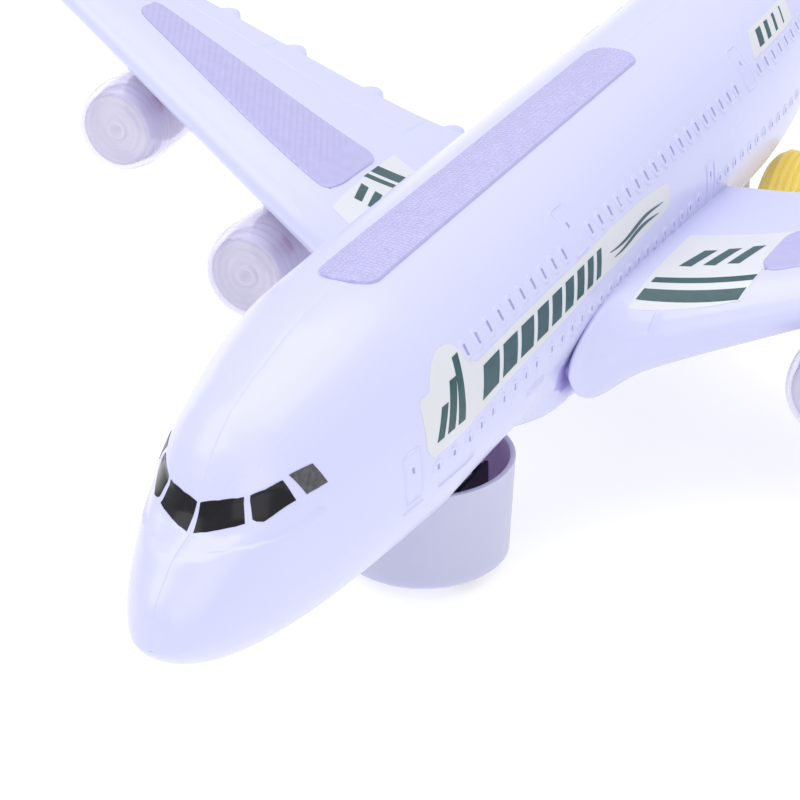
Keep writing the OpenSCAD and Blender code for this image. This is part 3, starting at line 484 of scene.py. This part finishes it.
mid_s, mid_a = (S[1:, 1:] + S[:-1, :-1]) / 2, (A[1:, 1:] + A[:-1, :-1]) / 2


opening = within(mid_a, -1, LENS_A) & within(mid_s, *LENS_S)
opening |= (mid_a > DOOR_A) & within(mid_s, *DOOR_S)
opening |= (mid_a > PLUG_A) & (within(mid_s, *TURRET_S) | within(mid_s, *SWITCH_S))
dark = (slit[:-1, :-1] & slit[1:, 1:] & slit[:-1, 1:] & slit[1:, :-1]).astype(int)
shell_pair(("fuselage_left", "fuselage_right"), ("fuselage_left_shell", "fuselage_right_shell"),
           outer, inner, ("shell", "slit"), ~opening, dark)


# ------------------------------------------------------------------ top lens
def jitter(i, j, k):
    """Repeatable scatter between -0.5 and 0.5."""
    v = np.sin(i * 127.1 + j * 311.7 + k * 74.7) * 43758.5453
    return v - np.floor(v) - 0.5


def pebbles(u, v, size, tall):
    """Heights of small irregular domes that cover a surface."""
    u, v = u / size, v / size
    best = np.full(np.shape(u), 9.0)
    for di in (-1, 0, 1):
        for dj in (-1, 0, 1):
            i, j = np.floor(u) + di, np.floor(v) + dj
            cu, cv = i + 0.5 + 0.34 * jitter(i, j, 1), j + 0.5 + 0.34 * jitter(i, j, 2)
            best = np.minimum(best, np.hypot(u - cu, v - cv))
    return tall * np.maximum(0, 1 - (best / 0.68) ** 2)


LENS_HALF = 7.75         # half width of the lens along the skin
LENS_ENDS = (85.3, 249.3)
lens_t = np.linspace(0, 1, 880)
lens_s = np.interp(lens_t, [0, 0.05, 0.95, 1], [LENS_ENDS[0], 91.5, 243.2, LENS_ENDS[1]])
end = np.minimum(lens_s - LENS_ENDS[0], LENS_ENDS[1] - lens_s)
corner = 1 - np.sqrt(np.maximum(0.0, 1 - (1 - clip01((end + 0.02) / 6.2)) ** 2.2))
half = LENS_HALF - 7.0 * corner
LS, LV = np.meshgrid(lens_s, np.linspace(-1, 1, 97), indexing="ij")
LV = LV * half[:, None]
edge = np.minimum(half[:, None] - np.abs(LV), end[:, None] + 0.02)
dome = pebbles(LS, LV, 1.25, 0.30) * smooth(edge / 0.6)
lift = 0.12 + 0.32 * smooth(edge / 0.45)
lens_top = skin(LS, LV / MM_PER_DEG, lift + dome)
lens_low = skin(LS, LV / MM_PER_DEG, -WALL)
shell("top_lens", lens_top, lens_low, ("lens",), slot="lens_lavender",
      replaces=["top_light_lens"], sharp=60)


# ------------------------------------------------------------------ films on the fuselage
def add_film(parts, top, low):
    parts.append((np.concatenate([top.reshape(-1, 3), low.reshape(-1, 3)]),
                  shell_faces(*top.shape[:2])[0]))


def arc_run(points):
    """Where each point lies along its line, from 0 to 1."""
    run = np.concatenate([[0], np.cumsum(np.hypot(*(np.diff(points, axis=0) * [1, 0.5]).T))])
    return run / run[-1]


def between(left, right, nu, nv, run_of):
    """Grid of nu by nv pairs from one line of pairs to another."""
    u, w = np.linspace(0, 1, nu)[:, None, None], np.linspace(0, 1, nv)
    lines = []
    for points in (left, right):
        p = np.asarray(points, float)
        lines.append(np.stack([np.interp(w, run_of(p), p[:, k]) for k in (0, 1)], -1))
    grid = lines[0][None] * (1 - u) + lines[1][None] * u
    return grid[..., 0], grid[..., 1]


def film(parts, left, right, nu, nv, lift):
    """Adds a thin film between two lines of (s, a) points, lying on the relief."""
    s, a = between(left, right, nu, nv, arc_run)
    base = relief(s, a)[0]
    add_film(parts, skin(s, a, base + lift + FILM), skin(s, a, base + lift - SUNK))


def both_sides(name, parts, mat, slot="shell_white"):
    points, faces = join(parts)
    make(name + "_port", points, faces, (mat,), slot=slot)
    make(name + "_starboard", mirrored(points), faces, (mat,), slot=slot)


parts = []
film(parts, [(21.7, 1.3), (22.9, 13.9), (24.5, 25.7), (25.3, 29.5)],
     [(17.6, 3.0), (18.6, 12.6), (19.8, 20.8), (21.8, 32.7), (22.9, 37.6)], 12, 34, 0.06)
film(parts, [(26.2, 32.9), (27.4, 36.0), (28.7, 39.2), (30.3, 41.9), (32.2, 44.6)],
     [(24.3, 41.1), (24.5, 44.4), (25.5, 49.2), (27.3, 51.4), (29.9, 53.9), (33.3, 57.0)],
     16, 24, 0.06)
both_sides("windscreen_panes", parts, "pane", "mechanism_black")
parts = []
film(parts, [(33.9, 45.8), (36.6, 48.4), (39.8, 50.9)],
     [(35.6, 58.7), (38.4, 60.4), (41.4, 61.6)], 14, 14, 0.06)
both_sides("windscreen_rear_panes", parts, "pane_grey", "mechanism_black")

# upper and lower outline of the long sticker, as (station, angle)
sticker_top = [(71.7, 80.5), (72.3, 72), (72.9, 64), (73.6, 62.2), (77.2, 61.8), (78.3, 59.5),
               (79.8, 56.4), (82.1, 53.1), (84.3, 51.3), (86.8, 50.6), (89.2, 51.2), (91.1, 52.9),
               (92.7, 56.7), (94.0, 60.5), (95.2, 64), (97.2, 66.3), (165, 66.0), (176, 65.4),
               (200, 66.3), (213.5, 68.6), (214.9, 70.5)]
sticker_low = [(71.7, 80.6), (72.6, 83.4), (74.0, 85.5), (78.5, 85.9), (89.4, 84.9), (118, 84.6),
               (150, 83.2), (165, 81.9), (205, 80.5), (212, 79.8), (214.9, 72)]


def monotone_film(parts, top, low, stations, nv, lift):
    """Film between an upper and a lower line given as angle against station."""
    (ts, ta), (ls, la) = np.array(top).T, np.array(low).T
    line, w = np.asarray(stations, float), np.linspace(0, 1, nv)
    a = np.interp(line, ts, ta)[:, None] * (1 - w) + np.interp(line, ls, la)[:, None] * w
    s = np.repeat(line[:, None], nv, 1)
    base = relief(s, a)[0]
    add_film(parts, skin(s, a, base + lift + FILM), skin(s, a, base + lift - SUNK))


parts = []
cols = merged([p[0] for p in sticker_top + sticker_low] + list(np.arange(72, 214.9, 1.6)), 0.25)
monotone_film(parts, sticker_top, sticker_low, cols, 22, 0.03)
film(parts, [(299.5, 40.5), (292.5, 54.0)], [(334.5, 40.5), (329.0, 54.0)], 24, 12, 0.03)
both_sides("sticker", parts, "decal")

# generic bars and stripes in place of the printing
parts = []
for top0, top1, low0, low1, a0, a1 in (
        (79.4, 82.0, 75.4, 78.0, 70, 81), (84.6, 87.4, 79.4, 82.2, 63.5, 81),
        (88.8, 91.6, 83.6, 86.4, 57, 81)):
    film(parts, [(top0, a0), (low0, a1)], [(top1, a0), (low1, a1)], 5, 18, 0.09)
start = 95.5
for k in range(9):
    width = 8.6 - 0.72 * k
    a0, a1 = 69.6 - 0.05 * k, 81.4 - 0.15 * k
    film(parts, [(start + 3.6, a0), (start, a1)], [(start + 3.6 + width, a0), (start + width, a1)],
         8, 12, 0.09)
    start += width + 2.3
for k, (s0, s1, mid) in enumerate([(173, 209, 74.6), (175, 205, 77.4)]):
    ss = np.linspace(s0, s1, 60)
    wave = mid + 0.9 * np.sin((ss - s0) / 5.2 + k)
    thick = 0.75 * np.sin(np.pi * (ss - s0 + 0.4) / (s1 - s0 + 0.8)) + 0.12
    monotone_film(parts, np.stack([ss, wave - thick], -1), np.stack([ss, wave + thick], -1), ss,
                  3, 0.09)
for k in range(4):
    s0 = 301.5 + 7.4 * k
    film(parts, [(s0 + 2.2, 43.0), (s0 - 1.6, 51.4)],
         [(s0 + 6.2 - k, 43.0), (s0 + 2.4 - k, 51.4)], 5, 8, 0.09)
both_sides("sticker_bars", parts, "ink")


# ------------------------------------------------------------------ belly fairing
def strake(s, a):
    """Bulge of the fairing in front of the wing and round the wing box."""
    off = np.where(a > 180, 360 - a, a)
    swell = (5 + 1.3 * smooth((s - 160) / 8)) * smooth((s - 131) / 24) \
        * smooth((301 - s) / 26) * smooth((off - 107.5) / 27)
    return swell * (1 - smooth((s - 143) / 10) * smooth((131 - off) / 14))


EDGE_A = 141.5           # angle from which the fairing is the belly rather than its side
fs = merged(list(np.linspace(126, 299, 120)) + [144, 152.5, 159, *DOOR_S, *SWITCH_S], 0.3)
fa = [108 + 1.5 * k for k in range(23)] + [EDGE_A, 145, DOOR_A, 154, 159, PLUG_A, 170, 175, 180]
fa = merged(fa, 0.4)
fa = np.concatenate([fa, 360 - fa[-2::-1]])
FS, FA = np.meshgrid(fs, fa, indexing="ij")
swell = strake(FS, FA)
top, low = skin(FS, FA, swell - 0.06), skin(FS, FA, -0.8)
ms, ma = (FS[1:, 1:] + FS[:-1, :-1]) / 2, (FA[1:, 1:] + FA[:-1, :-1]) / 2
mirror_a = np.where(ma > 180, 360 - ma, ma)
keep = np.where(mirror_a > EDGE_A, ms > 152.5, ms < 206)
keep &= ~((mirror_a > DOOR_A) & within(ms, *DOOR_S))
keep &= ~((mirror_a > PLUG_A) & within(ms, *SWITCH_S))
# shaded hollow beside the nose of the wing
hollow = (within(ms, 144.2, 160) & (mirror_a < 126 - 0.9 * (150 - ms).clip(0, 9))).astype(int)
shell("belly_fairing_skin", top, low, ("shell", "groove"), keep, hollow,
      replaces=["belly_fairing"])


# ------------------------------------------------------------------ wings
# x is the distance from the cabin's middle, c the part of the chord behind the leading edge
ROOT_X, SPAN, TIP = 30.0, 195.0, 14.0


def tip_cut(x):
    """How far the outline is rounded off towards the tip."""
    w = clip01((x - SPAN + TIP) / TIP)
    return 1 - np.sqrt(1 - 0.94 * w * w)


def root_rise(x):
    """How much higher and thicker the wing is towards the cabin."""
    return 9.3 * np.exp(-(np.maximum(0, x - 26) / 25) ** 1.5)


def lead_s(x):
    root = 20.7 * np.exp((26 - x) / 12) + 8.5 * np.exp(-((x - 31.6) / 3.0) ** 2)
    return 166 + 0.534 * (x - ROOT_X) - root + 16 * tip_cut(x)


def trail_s(x):
    return 259 + 0.158 * (x - ROOT_X) - 9 * tip_cut(x)


def foil(c):
    """Half thickness of a plain aerofoil, about 0.5 at most."""
    return 10 * (0.2969 * np.sqrt(c) - 0.126 * c - 0.3516 * c ** 2 + 0.2843 * c ** 3
                 - 0.1036 * c ** 4)


def chord_s(x, c):
    return lead_s(x) * (1 - c) + trail_s(x) * c


def camber_h(x):
    return -15 + 0.278 * (x - ROOT_X) + root_rise(x)


def wing_h(x, c, up):
    """Height of the wing's upper or lower side."""
    w = (x - ROOT_X) / (SPAN - ROOT_X)
    cut = 1 - 0.7 * tip_cut(x)
    low = (16 - 9 * w + 0.8 * root_rise(x)) * cut
    nose = np.maximum(0, 1 - c / 0.28)
    if up:
        dip = 0.3 * low * (1 - np.sqrt(1 - nose ** 2))
        return camber_h(x) + (4.9 - 1.9 * w) * cut * foil(c) - dip
    return camber_h(x) - np.hypot(0.3 * low * nose, low * foil(c))


def chord_c(x, s):
    return clip01((s - lead_s(x)) / (trail_s(x) - lead_s(x)))


LENS_X = (60.0, 152.0)
HINGE_C = 0.80


def lens_c(x):
    """Front and back edge of the lens, as parts of the chord."""
    w = clip01((x - LENS_X[0]) / (LENS_X[1] - LENS_X[0]))
    return 0.178 + 0.17 * w * w, 0.532 + 0.05 * w


def wing_relief(x, s, c):
    """Moulded lines of the wing's upper side."""
    line = np.interp(x, [34, 47.1, 77.2, 104.6, 178], [165.8, 175.2, 197.7, 215.9, 262])
    d = -0.2 * clip01(1 - np.abs(s - line) / 0.55) * within(x, 33, 178)
    d += -0.1 * clip01(1 - np.abs(s - line + 2.8) / 0.5) * within(x, 33, 178)
    hinge = np.abs(c - HINGE_C)
    d += -0.22 * clip01(1 - hinge * 55 / 0.6) * within(x, 64, 182)
    for x0 in (64.0, 118.0, 182.0):
        d += -0.22 * clip01(1 - np.abs(x - x0) / 0.5) * (c > HINGE_C) * (c < 0.985)
    return d


wx = merged([27] + list(np.arange(28.4, 33.2, 0.3)) + list(np.linspace(33.6, 181, 94))
            + list(181 + 14 * np.sin(np.linspace(0, 0.5, 16) * np.pi))
            + [42.4, 42.7, 43.2, 43.5, 63.4, 64.0, 64.6, 117.4, 118, 118.6, *LENS_X, 61.9, 150.1,
               181.4, 182, 182.5], 0.22)


def wing_c(x):
    """Chord fractions at one span position; two of them follow the lens's opening."""
    front, back = lens_c(x)
    front, back = front + 0.018, back - 0.018
    a = (1 - np.cos(np.linspace(0, 1, 22) * np.pi / 2)) * front
    b = np.linspace(front, back, 16)[1:]
    c = np.linspace(back, 0.78, 20)[1:]
    d = [0.79, 0.796, 0.80, 0.804, 0.81, 0.825, 0.84, 0.86, 0.89, 0.92, 0.95, 0.97, 0.985, 0.994,
         1.0]
    return np.concatenate([a, b, c, d])


CFRONT, CBACK = 21, 36   # the two fractions in wing_c that follow the lens


def wing_points(x, s, h):
    """Points of a wing surface; its first row is set against the cabin."""
    root = np.maximum(24.6, flank_x(s, h) - 0.2)
    px = np.where(np.arange(len(wx))[:, None] == 0, root, x)
    return np.stack([px, Y0 + s, AXIS_Z + h], -1)


def root_pinch(x, c):
    """How far the nose of the wing closes towards the cabin, from 0 to 1."""
    w = clip01((31.8 + 0.4 * smooth(c / 0.12) - x) / 2.4) * smooth((0.30 - c) / 0.30)
    return 1 - np.sqrt(1 - w * w)


C = np.stack([wing_c(x) for x in wx])
X = np.repeat(wx[:, None], C.shape[1], 1)
PINCH = root_pinch(X, C)
for up in (True, False):
    SS = chord_s(X, C) + 7 * PINCH * (1 - C)
    full = wing_h(X, C, up)
    middle = (wing_h(X, C, True) + wing_h(X, C, False)) / 2
    H = full + (middle - full) * 0.5 * PINCH
    if up:
        H = H + wing_relief(X, SS, C) * (1 - PINCH)
    # a small rib on the nose of the wing near the root
    nose_rib = 0.45 * smooth((0.75 - np.abs(X - 42.95)) / 0.5) * smooth((0.075 - C) / 0.02)
    nose_rib = nose_rib * smooth((C - 0.004) / 0.01) * up
    SS = SS - nose_rib
    H = H + nose_rib * 0.6
    ci = np.clip(C, 0.02, 0.98)
    mid = (wing_h(X, ci, True) + wing_h(X, ci, False)) / 2
    full = wing_h(X, ci, up)
    full = full + (mid - full) * 0.5 * PINCH
    Hi = np.maximum(mid + 0.3, full - WALL) if up else np.minimum(mid - 0.3, full + WALL)
    Hi = Hi + (full - Hi) * (PINCH > 0.75)
    Hi[:, 0], Hi[:, -1] = mid[:, 0], mid[:, -1]
    Hi[-1] = mid[-1]
    outer_w = wing_points(X, SS, H)
    inner_w = wing_points(X, chord_s(X, ci) + 7 * PINCH * (1 - ci) + 0.5 * (PINCH > 0.75), Hi)
    keep = np.ones((len(wx) - 1, C.shape[1] - 1), bool)
    if up:
        mid_x = (wx[1:] + wx[:-1]) / 2
        keep[within(mid_x, 61.9, 150.1), CFRONT:CBACK] = False
    part = "upper" if up else "lower"
    creased = (PINCH[1:, 1:] > 0.5).astype(int)
    shell_pair(("wing_port_" + part, "wing_starboard_" + part),
               ("wing_left_%s_shell" % part, "wing_right_%s_shell" % part),
               outer_w, inner_w, ("shell", "groove"), keep, creased)

# ribbed wing lens, with rounded corners
lx = merged(list(np.arange(LENS_X[0], LENS_X[1], 0.27)) + [LENS_X[1]], 0.1)
end = np.minimum(lx - LENS_X[0], (LENS_X[1] - lx) * 1.3)
corner = 1 - np.sqrt(np.maximum(0, 1 - (1 - clip01((end + 0.03) / 6.5)) ** 2.4))
f, b = lens_c(lx)
span_c = b - f
f, b = f + span_c * 0.34 * corner, b - span_c * 0.22 * corner
LX, W = np.meshgrid(lx, np.linspace(0, 1, 56), indexing="ij")
LC = f[:, None] * (1 - W) + b[:, None] * W
LSS = chord_s(LX, LC)
edge = np.minimum(np.minimum(LC - f[:, None], b[:, None] - LC) * 95,
                  np.minimum(LX - LX[0, 0], LX[-1, 0] - LX) + 0.03)
q = 0.894 * LX - 0.447 * LSS
ribs = 0.11 * np.cos(2 * np.pi * q / 1.75) * smooth((LX - LENS_X[0] - 9.5) / 1.0)
top = wing_h(LX, LC, True) + 0.05 + 0.35 * smooth(edge / 0.5) + (ribs * smooth(edge / 0.8))
lens_pts = np.stack([LX, Y0 + LSS, AXIS_Z + top], -1)
lens_in = np.stack([LX, Y0 + LSS, AXIS_Z + wing_h(LX, LC, True) - WALL], -1)
shell_pair(("wing_port_lens", "wing_starboard_lens"), ("wing_left_lens", "wing_right_lens"),
           lens_pts, lens_in, ("lens",), slot="lens_lavender", sharp=60)

# flap track bumps behind the trailing edge
parts = []
for x0 in (55.8, 85.0, 113.0, 137.8):
    u = np.linspace(0, 1, 34)
    r = np.minimum(1, 1.08 * np.sin(np.pi * (0.03 + 0.94 * u) ** 1.25) ** 0.55)
    ang = np.linspace(0, 2 * np.pi, 33)[:-1]
    s_axis = trail_s(x0) - 16.5 + 21.6 * u
    h_axis = camber_h(x0) - 1.3 - 1.2 * (1 - u)
    px = x0 + (4.3 * r)[:, None] * np.cos(ang)
    ph = h_axis[:, None] + (1.9 * r)[:, None] * np.sin(ang) + 0.278 * (px - x0)
    pts = np.stack([px, Y0 + s_axis[:, None] + 0 * px, AXIS_Z + ph], -1)
    parts.append((pts.reshape(-1, 3), tube_faces(34, 32, closed=False)))
both_sides("flap_bumps", parts, "shell")


# stickers on the wing roots
def even_run(points):
    return np.linspace(0, 1, len(points))


def wing_film(parts, left, right, nu, nv, lift):
    """Adds a thin film between two lines of (x, s) points, lying on the wing."""
    x, s = between(left, right, nu, nv, even_run)
    c = chord_c(x, s)
    h = wing_h(x, c, True) + wing_relief(x, s, c) * 0.3
    top, low = (np.stack([x, Y0 + s, AXIS_Z + h + lift + rise], -1) for rise in (FILM, -SUNK))
    add_film(parts, top, low)


parts = []
wing_film(parts, [(36.4, 169.4), (36.4, 191), (36.2, 214)],
          [(60.2, 185.4), (61.3, 194.6), (61.3, 225.2)], 24, 30, 0.05)
make("wing_sticker_port", *join(parts), ("decal",))
parts = []
wing_film(parts, [(36.5, 175), (36.5, 193), (36.5, 214.5)],
          [(57.2, 190.2), (57.6, 210), (58.4, 230)], 24, 30, 0.05)
points, faces = join(parts)
make("wing_sticker_starboard", mirrored(points), faces, ("decal",))
parts = []
wing_film(parts, [(37.0, 173.4), (37.3, 178.4)], [(59.7, 185.4), (60.3, 189.7)], 24, 6, 0.11)
wing_film(parts, [(37.7, 181.8), (37.9, 184.5)], [(60.8, 193.0), (61.1, 195.6)], 24, 4, 0.11)
for k in range(3):
    x0 = 41.0 + 5.4 * k
    wing_film(parts, [(x0, 193.0 + 3.0 * k), (x0 + 2.6, 205.0 + 3.4 * k)],
              [(x0 + 2.9, 194.0 + 3.0 * k), (x0 + 5.5, 206.4 + 3.4 * k)], 4, 8, 0.11)
make("wing_sticker_bars_port", *join(parts), ("ink",))
parts = []
wing_film(parts, [(36.8, 209.4), (36.9, 214.2)], [(57.9, 214.6), (58.0, 219.3)], 24, 6, 0.11)
wing_film(parts, [(36.8, 205.4), (36.8, 207.6)], [(57.9, 210.4), (57.9, 212.7)], 24, 4, 0.11)
for k in range(3):
    x0 = 40.2 + 5.4 * k
    wing_film(parts, [(x0, 190.4 + 2.6 * k), (x0 + 2.4, 199.6 + 2.4 * k)],
              [(x0 + 2.9, 191.4 + 2.6 * k), (x0 + 5.3, 201.0 + 2.4 * k)], 4, 8, 0.11)
points, faces = join(parts)
make("wing_sticker_bars_starboard", mirrored(points), faces, ("ink",))


# ------------------------------------------------------------------ engines
# x, station and height of each front centre; profiles are (radius, distance behind it)
ENGINES = {"inner": (84.6, 189.6, -27.3), "outer": (147.3, 224.7, -6.9)}
TEETH = 72
nacelle_profile = [(11.1, -0.6), (11.5, -0.95), (12.0, -0.8), (12.4, -0.2), (12.9, 0.9),
                   (13.05, 1.7), (12.8, 2.3), (13.2, 2.8), (13.5, 3.6), (13.55, 4.4),
                   (13.2, 5.0), (13.6, 5.6), (13.85, 6.6), (13.85, 7.5), (13.5, 8.1),
                   (13.85, 8.7), (14, 9.8), (14, 18), (13.75, 23), (13.3, 28), (12.5, 33),
                   (11.48, 38), (10.0, 43), (8.8, 46), (8.1, 47), (0.01, 47.2), (0.01, 45.7),
                   (7.4, 45.6), (8.6, 43), (10.2, 37.6), (12.0, 28), (12.6, 23), (12.7, 18),
                   (12.7, 10), (12.4, 7.5), (12.1, 5.6), (11.86, 3.4), (11.3, 2.7), (11.1, 2.3)]
disc_profile = [(0.01, 1.0), (0.6, 0.9), (1.2, 0.5), (1.8, 0.0), (2.5, -0.2), (3.1, 0.0),
                (3.5, 0.5), (4.4, 0.5), (4.8, 0.28), (5.3, 0.28), (5.7, 0.5), (6.6, 0.5),
                (7.0, 0.28), (7.5, 0.28), (7.9, 0.5), (8.9, 0.5), (9.3, 0.15), (9.9, 0.05),
                (10.5, 0.2), (11.0, 0.4), (11.0, 2.2), (0.01, 2.2)]
for key, (ex, es, eh) in ENGINES.items():
    centre = (ex, Y0 + es, AXIS_Z + eh)
    points, faces = lathe(nacelle_profile, centre, 112)
    # the pylon is a row of four-cornered rings from front to back
    depth = np.linspace(12, 40, 15)
    tops = wing_h(ex, chord_c(ex, es + depth), False) - eh - 0.9
    bottoms = np.interp(depth, [12, 24, 40], [13.3, 13.3, 11.0])
    half_w = 2.0 * np.sqrt(np.maximum(0.04, 1 - ((depth - 26) / 14.6) ** 2))
    rings = [[[ex + sx * hw, Y0 + es + d, AXIS_Z + eh + z]
              for sx, z in ((-1, bz), (-1, tz), (1, tz), (1, bz))]
             for d, tz, bz, hw in zip(depth, tops, bottoms, half_w)]
    caps = [[0, 1, 2, 3], [59, 58, 57, 56]]
    pylon = (np.array(rings).reshape(-1, 3),
             np.concatenate([tube_faces(15, 4, closed=False), caps]))
    # fine teeth on a ring inside the front lip
    ang = np.arange(2 * TEETH) * np.pi / TEETH
    wave = np.where(np.arange(2 * TEETH) % 2, 11.6, 10.8)
    loops = [np.stack([centre[0] + radius * np.cos(ang), centre[1] + length + 0 * ang,
                       centre[2] + radius * np.sin(ang)], -1)
             for length, radius in ((3.6, wave), (8.0, wave + 0.5), (8.0, 10.0), (3.6, 9.7))]
    knurl = (np.array(loops).reshape(-1, 3), tube_faces(4, 2 * TEETH))
    for side, flip in (("left", False), ("right", True)):
        for label, (p, q), target, sharp in (
                ("nacelle", (points, faces), ["engine_%s_%s_nacelle" % (side, key)], 50),
                ("pylon", pylon, [], 40), ("knurl", knurl, [], 20)):
            make("engine_%s_%s_%s" % (side, key, label), mirrored(p) if flip else p, q,
                 ("clear",), slot="clear_plastic", replaces=target, sharp=sharp)
parts = []
for ex, es, eh in ENGINES.values():
    for sign in (-1, 1):
        parts.append(lathe(disc_profile, (sign * ex, Y0 + es, AXIS_Z + eh), 96))
points, faces = join(parts)
make("engine_front_discs", points, faces, ("disc",), slot="clear_plastic",
     replaces=["engine_front_lenses"], sharp=50)


# ------------------------------------------------------------------ tail
def blade(name, at, nspan, node, flip=False):
    """Closed aerofoil blade from at(u, c, sign): u runs along the span, c along the chord."""
    u = np.concatenate([np.linspace(0, 0.9, nspan),
                        0.9 + 0.1 * np.sin(np.linspace(0, 0.5, 12)[1:] * np.pi)])
    c = np.concatenate([(1 - np.cos(np.linspace(0, 0.5, 22) * np.pi)) * 0.66, [0.672, 0.68, 0.69],
                        np.linspace(0.70, 0.98, 14), [0.992, 1.0]])
    U, Cc = np.meshgrid(u, c, indexing="ij")
    a, b = at(U, Cc, 1), at(U, Cc, -1)
    if flip:
        a, b = mirrored(a), mirrored(b)
    shell(name, a, b, replaces=[node])


def hinge_line(u, c):
    """Factor that thins the blade along its hinge."""
    return 1 - 0.22 * clip01(1 - np.abs(c - 0.68) / 0.012) * within(u, 0.06, 0.93)


def fin(u, c, sign):
    front, back = 338 + 60 * u + 9 * u ** 12, 424 + 7 * u
    s = front * (1 - c) + back * c
    foot = 338 * (1 - c) + 424 * c
    z = (top_h(foot) + 0.25) * (1 - u) + 80 * u
    x = np.maximum(0.25, (3.6 - 1.7 * u) * foil(c) * (1 - 0.6 * u ** 14) * hinge_line(u, c))
    return np.stack([sign * x, Y0 + s, AXIS_Z + z], -1)


def tailplane(u, c, sign):
    x = 76 * u
    front, back = 374 + 0.62 * x + 8 * u ** 10, 421 + 0.16 * x - 4 * u ** 10
    s = front * (1 - c) + back * c
    thick = np.maximum(0.25, (3.4 - 1.9 * u) * foil(c) * hinge_line(u, c))
    h = 13 + 0.11 * x + sign * thick
    px = np.where(u == 0, flank_x(s, h) + 0.15, x + 12)
    return np.stack([px, Y0 + s, AXIS_Z + h], -1)


blade("tail_fin_skin", fin, 30, "tail_fin")
blade("tailplane_port", tailplane, 34, "tailplane_left")
blade("tailplane_starboard", tailplane, 34, "tailplane_right", flip=True)


# ------------------------------------------------------------------ camera, floor and light
def look(az, el, roll):
    """Rotation of a camera turned by az, tilted down by el and rolled, in degrees."""
    az, el, roll = (math.radians(v) for v in (az, el, roll))
    forward = Vector((-math.sin(az) * math.cos(el), math.cos(az) * math.cos(el), -math.sin(el)))
    right = forward.cross(Vector((0, 0, 1))).normalized()
    up = right.cross(forward)
    r = right * math.cos(roll) + up * math.sin(roll)
    u = up * math.cos(roll) - right * math.sin(roll)
    return Matrix((r, u, -forward)).transposed()


scene = bpy.context.scene
camera = bpy.data.objects.new("camera", bpy.data.cameras.new("camera"))
camera.data.sensor_width = 36.0
camera.data.lens = 115.455
camera.matrix_world = (Matrix.Translation((0.24285, -0.59105, 0.33388))
                       @ look(26.54, 27.562, -0.61).to_4x4())
camera.data.clip_start = 0.01
scene.collection.objects.link(camera)
scene.camera = camera

floor_mesh = bpy.data.meshes.new("floor")
floor_mesh.from_pydata([(-6, -6, 0), (6, -6, 0), (6, 6, 0), (-6, 6, 0)], [], [(0, 1, 2, 3)])
floor_mesh.materials.append(M["floor"])
floor = bpy.data.objects.new("floor", floor_mesh)
scene.collection.objects.link(floor)


def area_light(name, place, target, size, power, color=(1, 1, 1)):
    data = bpy.data.lights.new(name, "AREA")
    data.shape = "DISK"
    data.size = size
    data.energy = power
    data.color = color
    light = bpy.data.objects.new(name, data)
    light.location = place
    light.rotation_euler = (Vector(target) - Vector(place)).to_track_quat("-Z", "Y").to_euler()
    scene.collection.objects.link(light)


area_light("key", (-1.1, -0.7, 1.7), (0, -0.05, 0.05), 1.8, 12.5, (1.0, 0.995, 0.985))
area_light("top", (0.1, 0.4, 1.9), (0, 0.0, 0.05), 2.2, 18, (1.0, 0.995, 0.985))
area_light("fill", (1.3, -1.3, 0.9), (0.05, -0.1, 0.06), 1.6, 7, (1.0, 0.995, 0.99))
world = bpy.data.worlds.new("studio")
world.use_nodes = True
world.node_tree.nodes["Background"].inputs["Color"].default_value = (0.95, 0.96, 1.0, 1)
world.node_tree.nodes["Background"].inputs["Strength"].default_value = 0.75
scene.world = world
scene.view_settings.view_transform = "Standard"
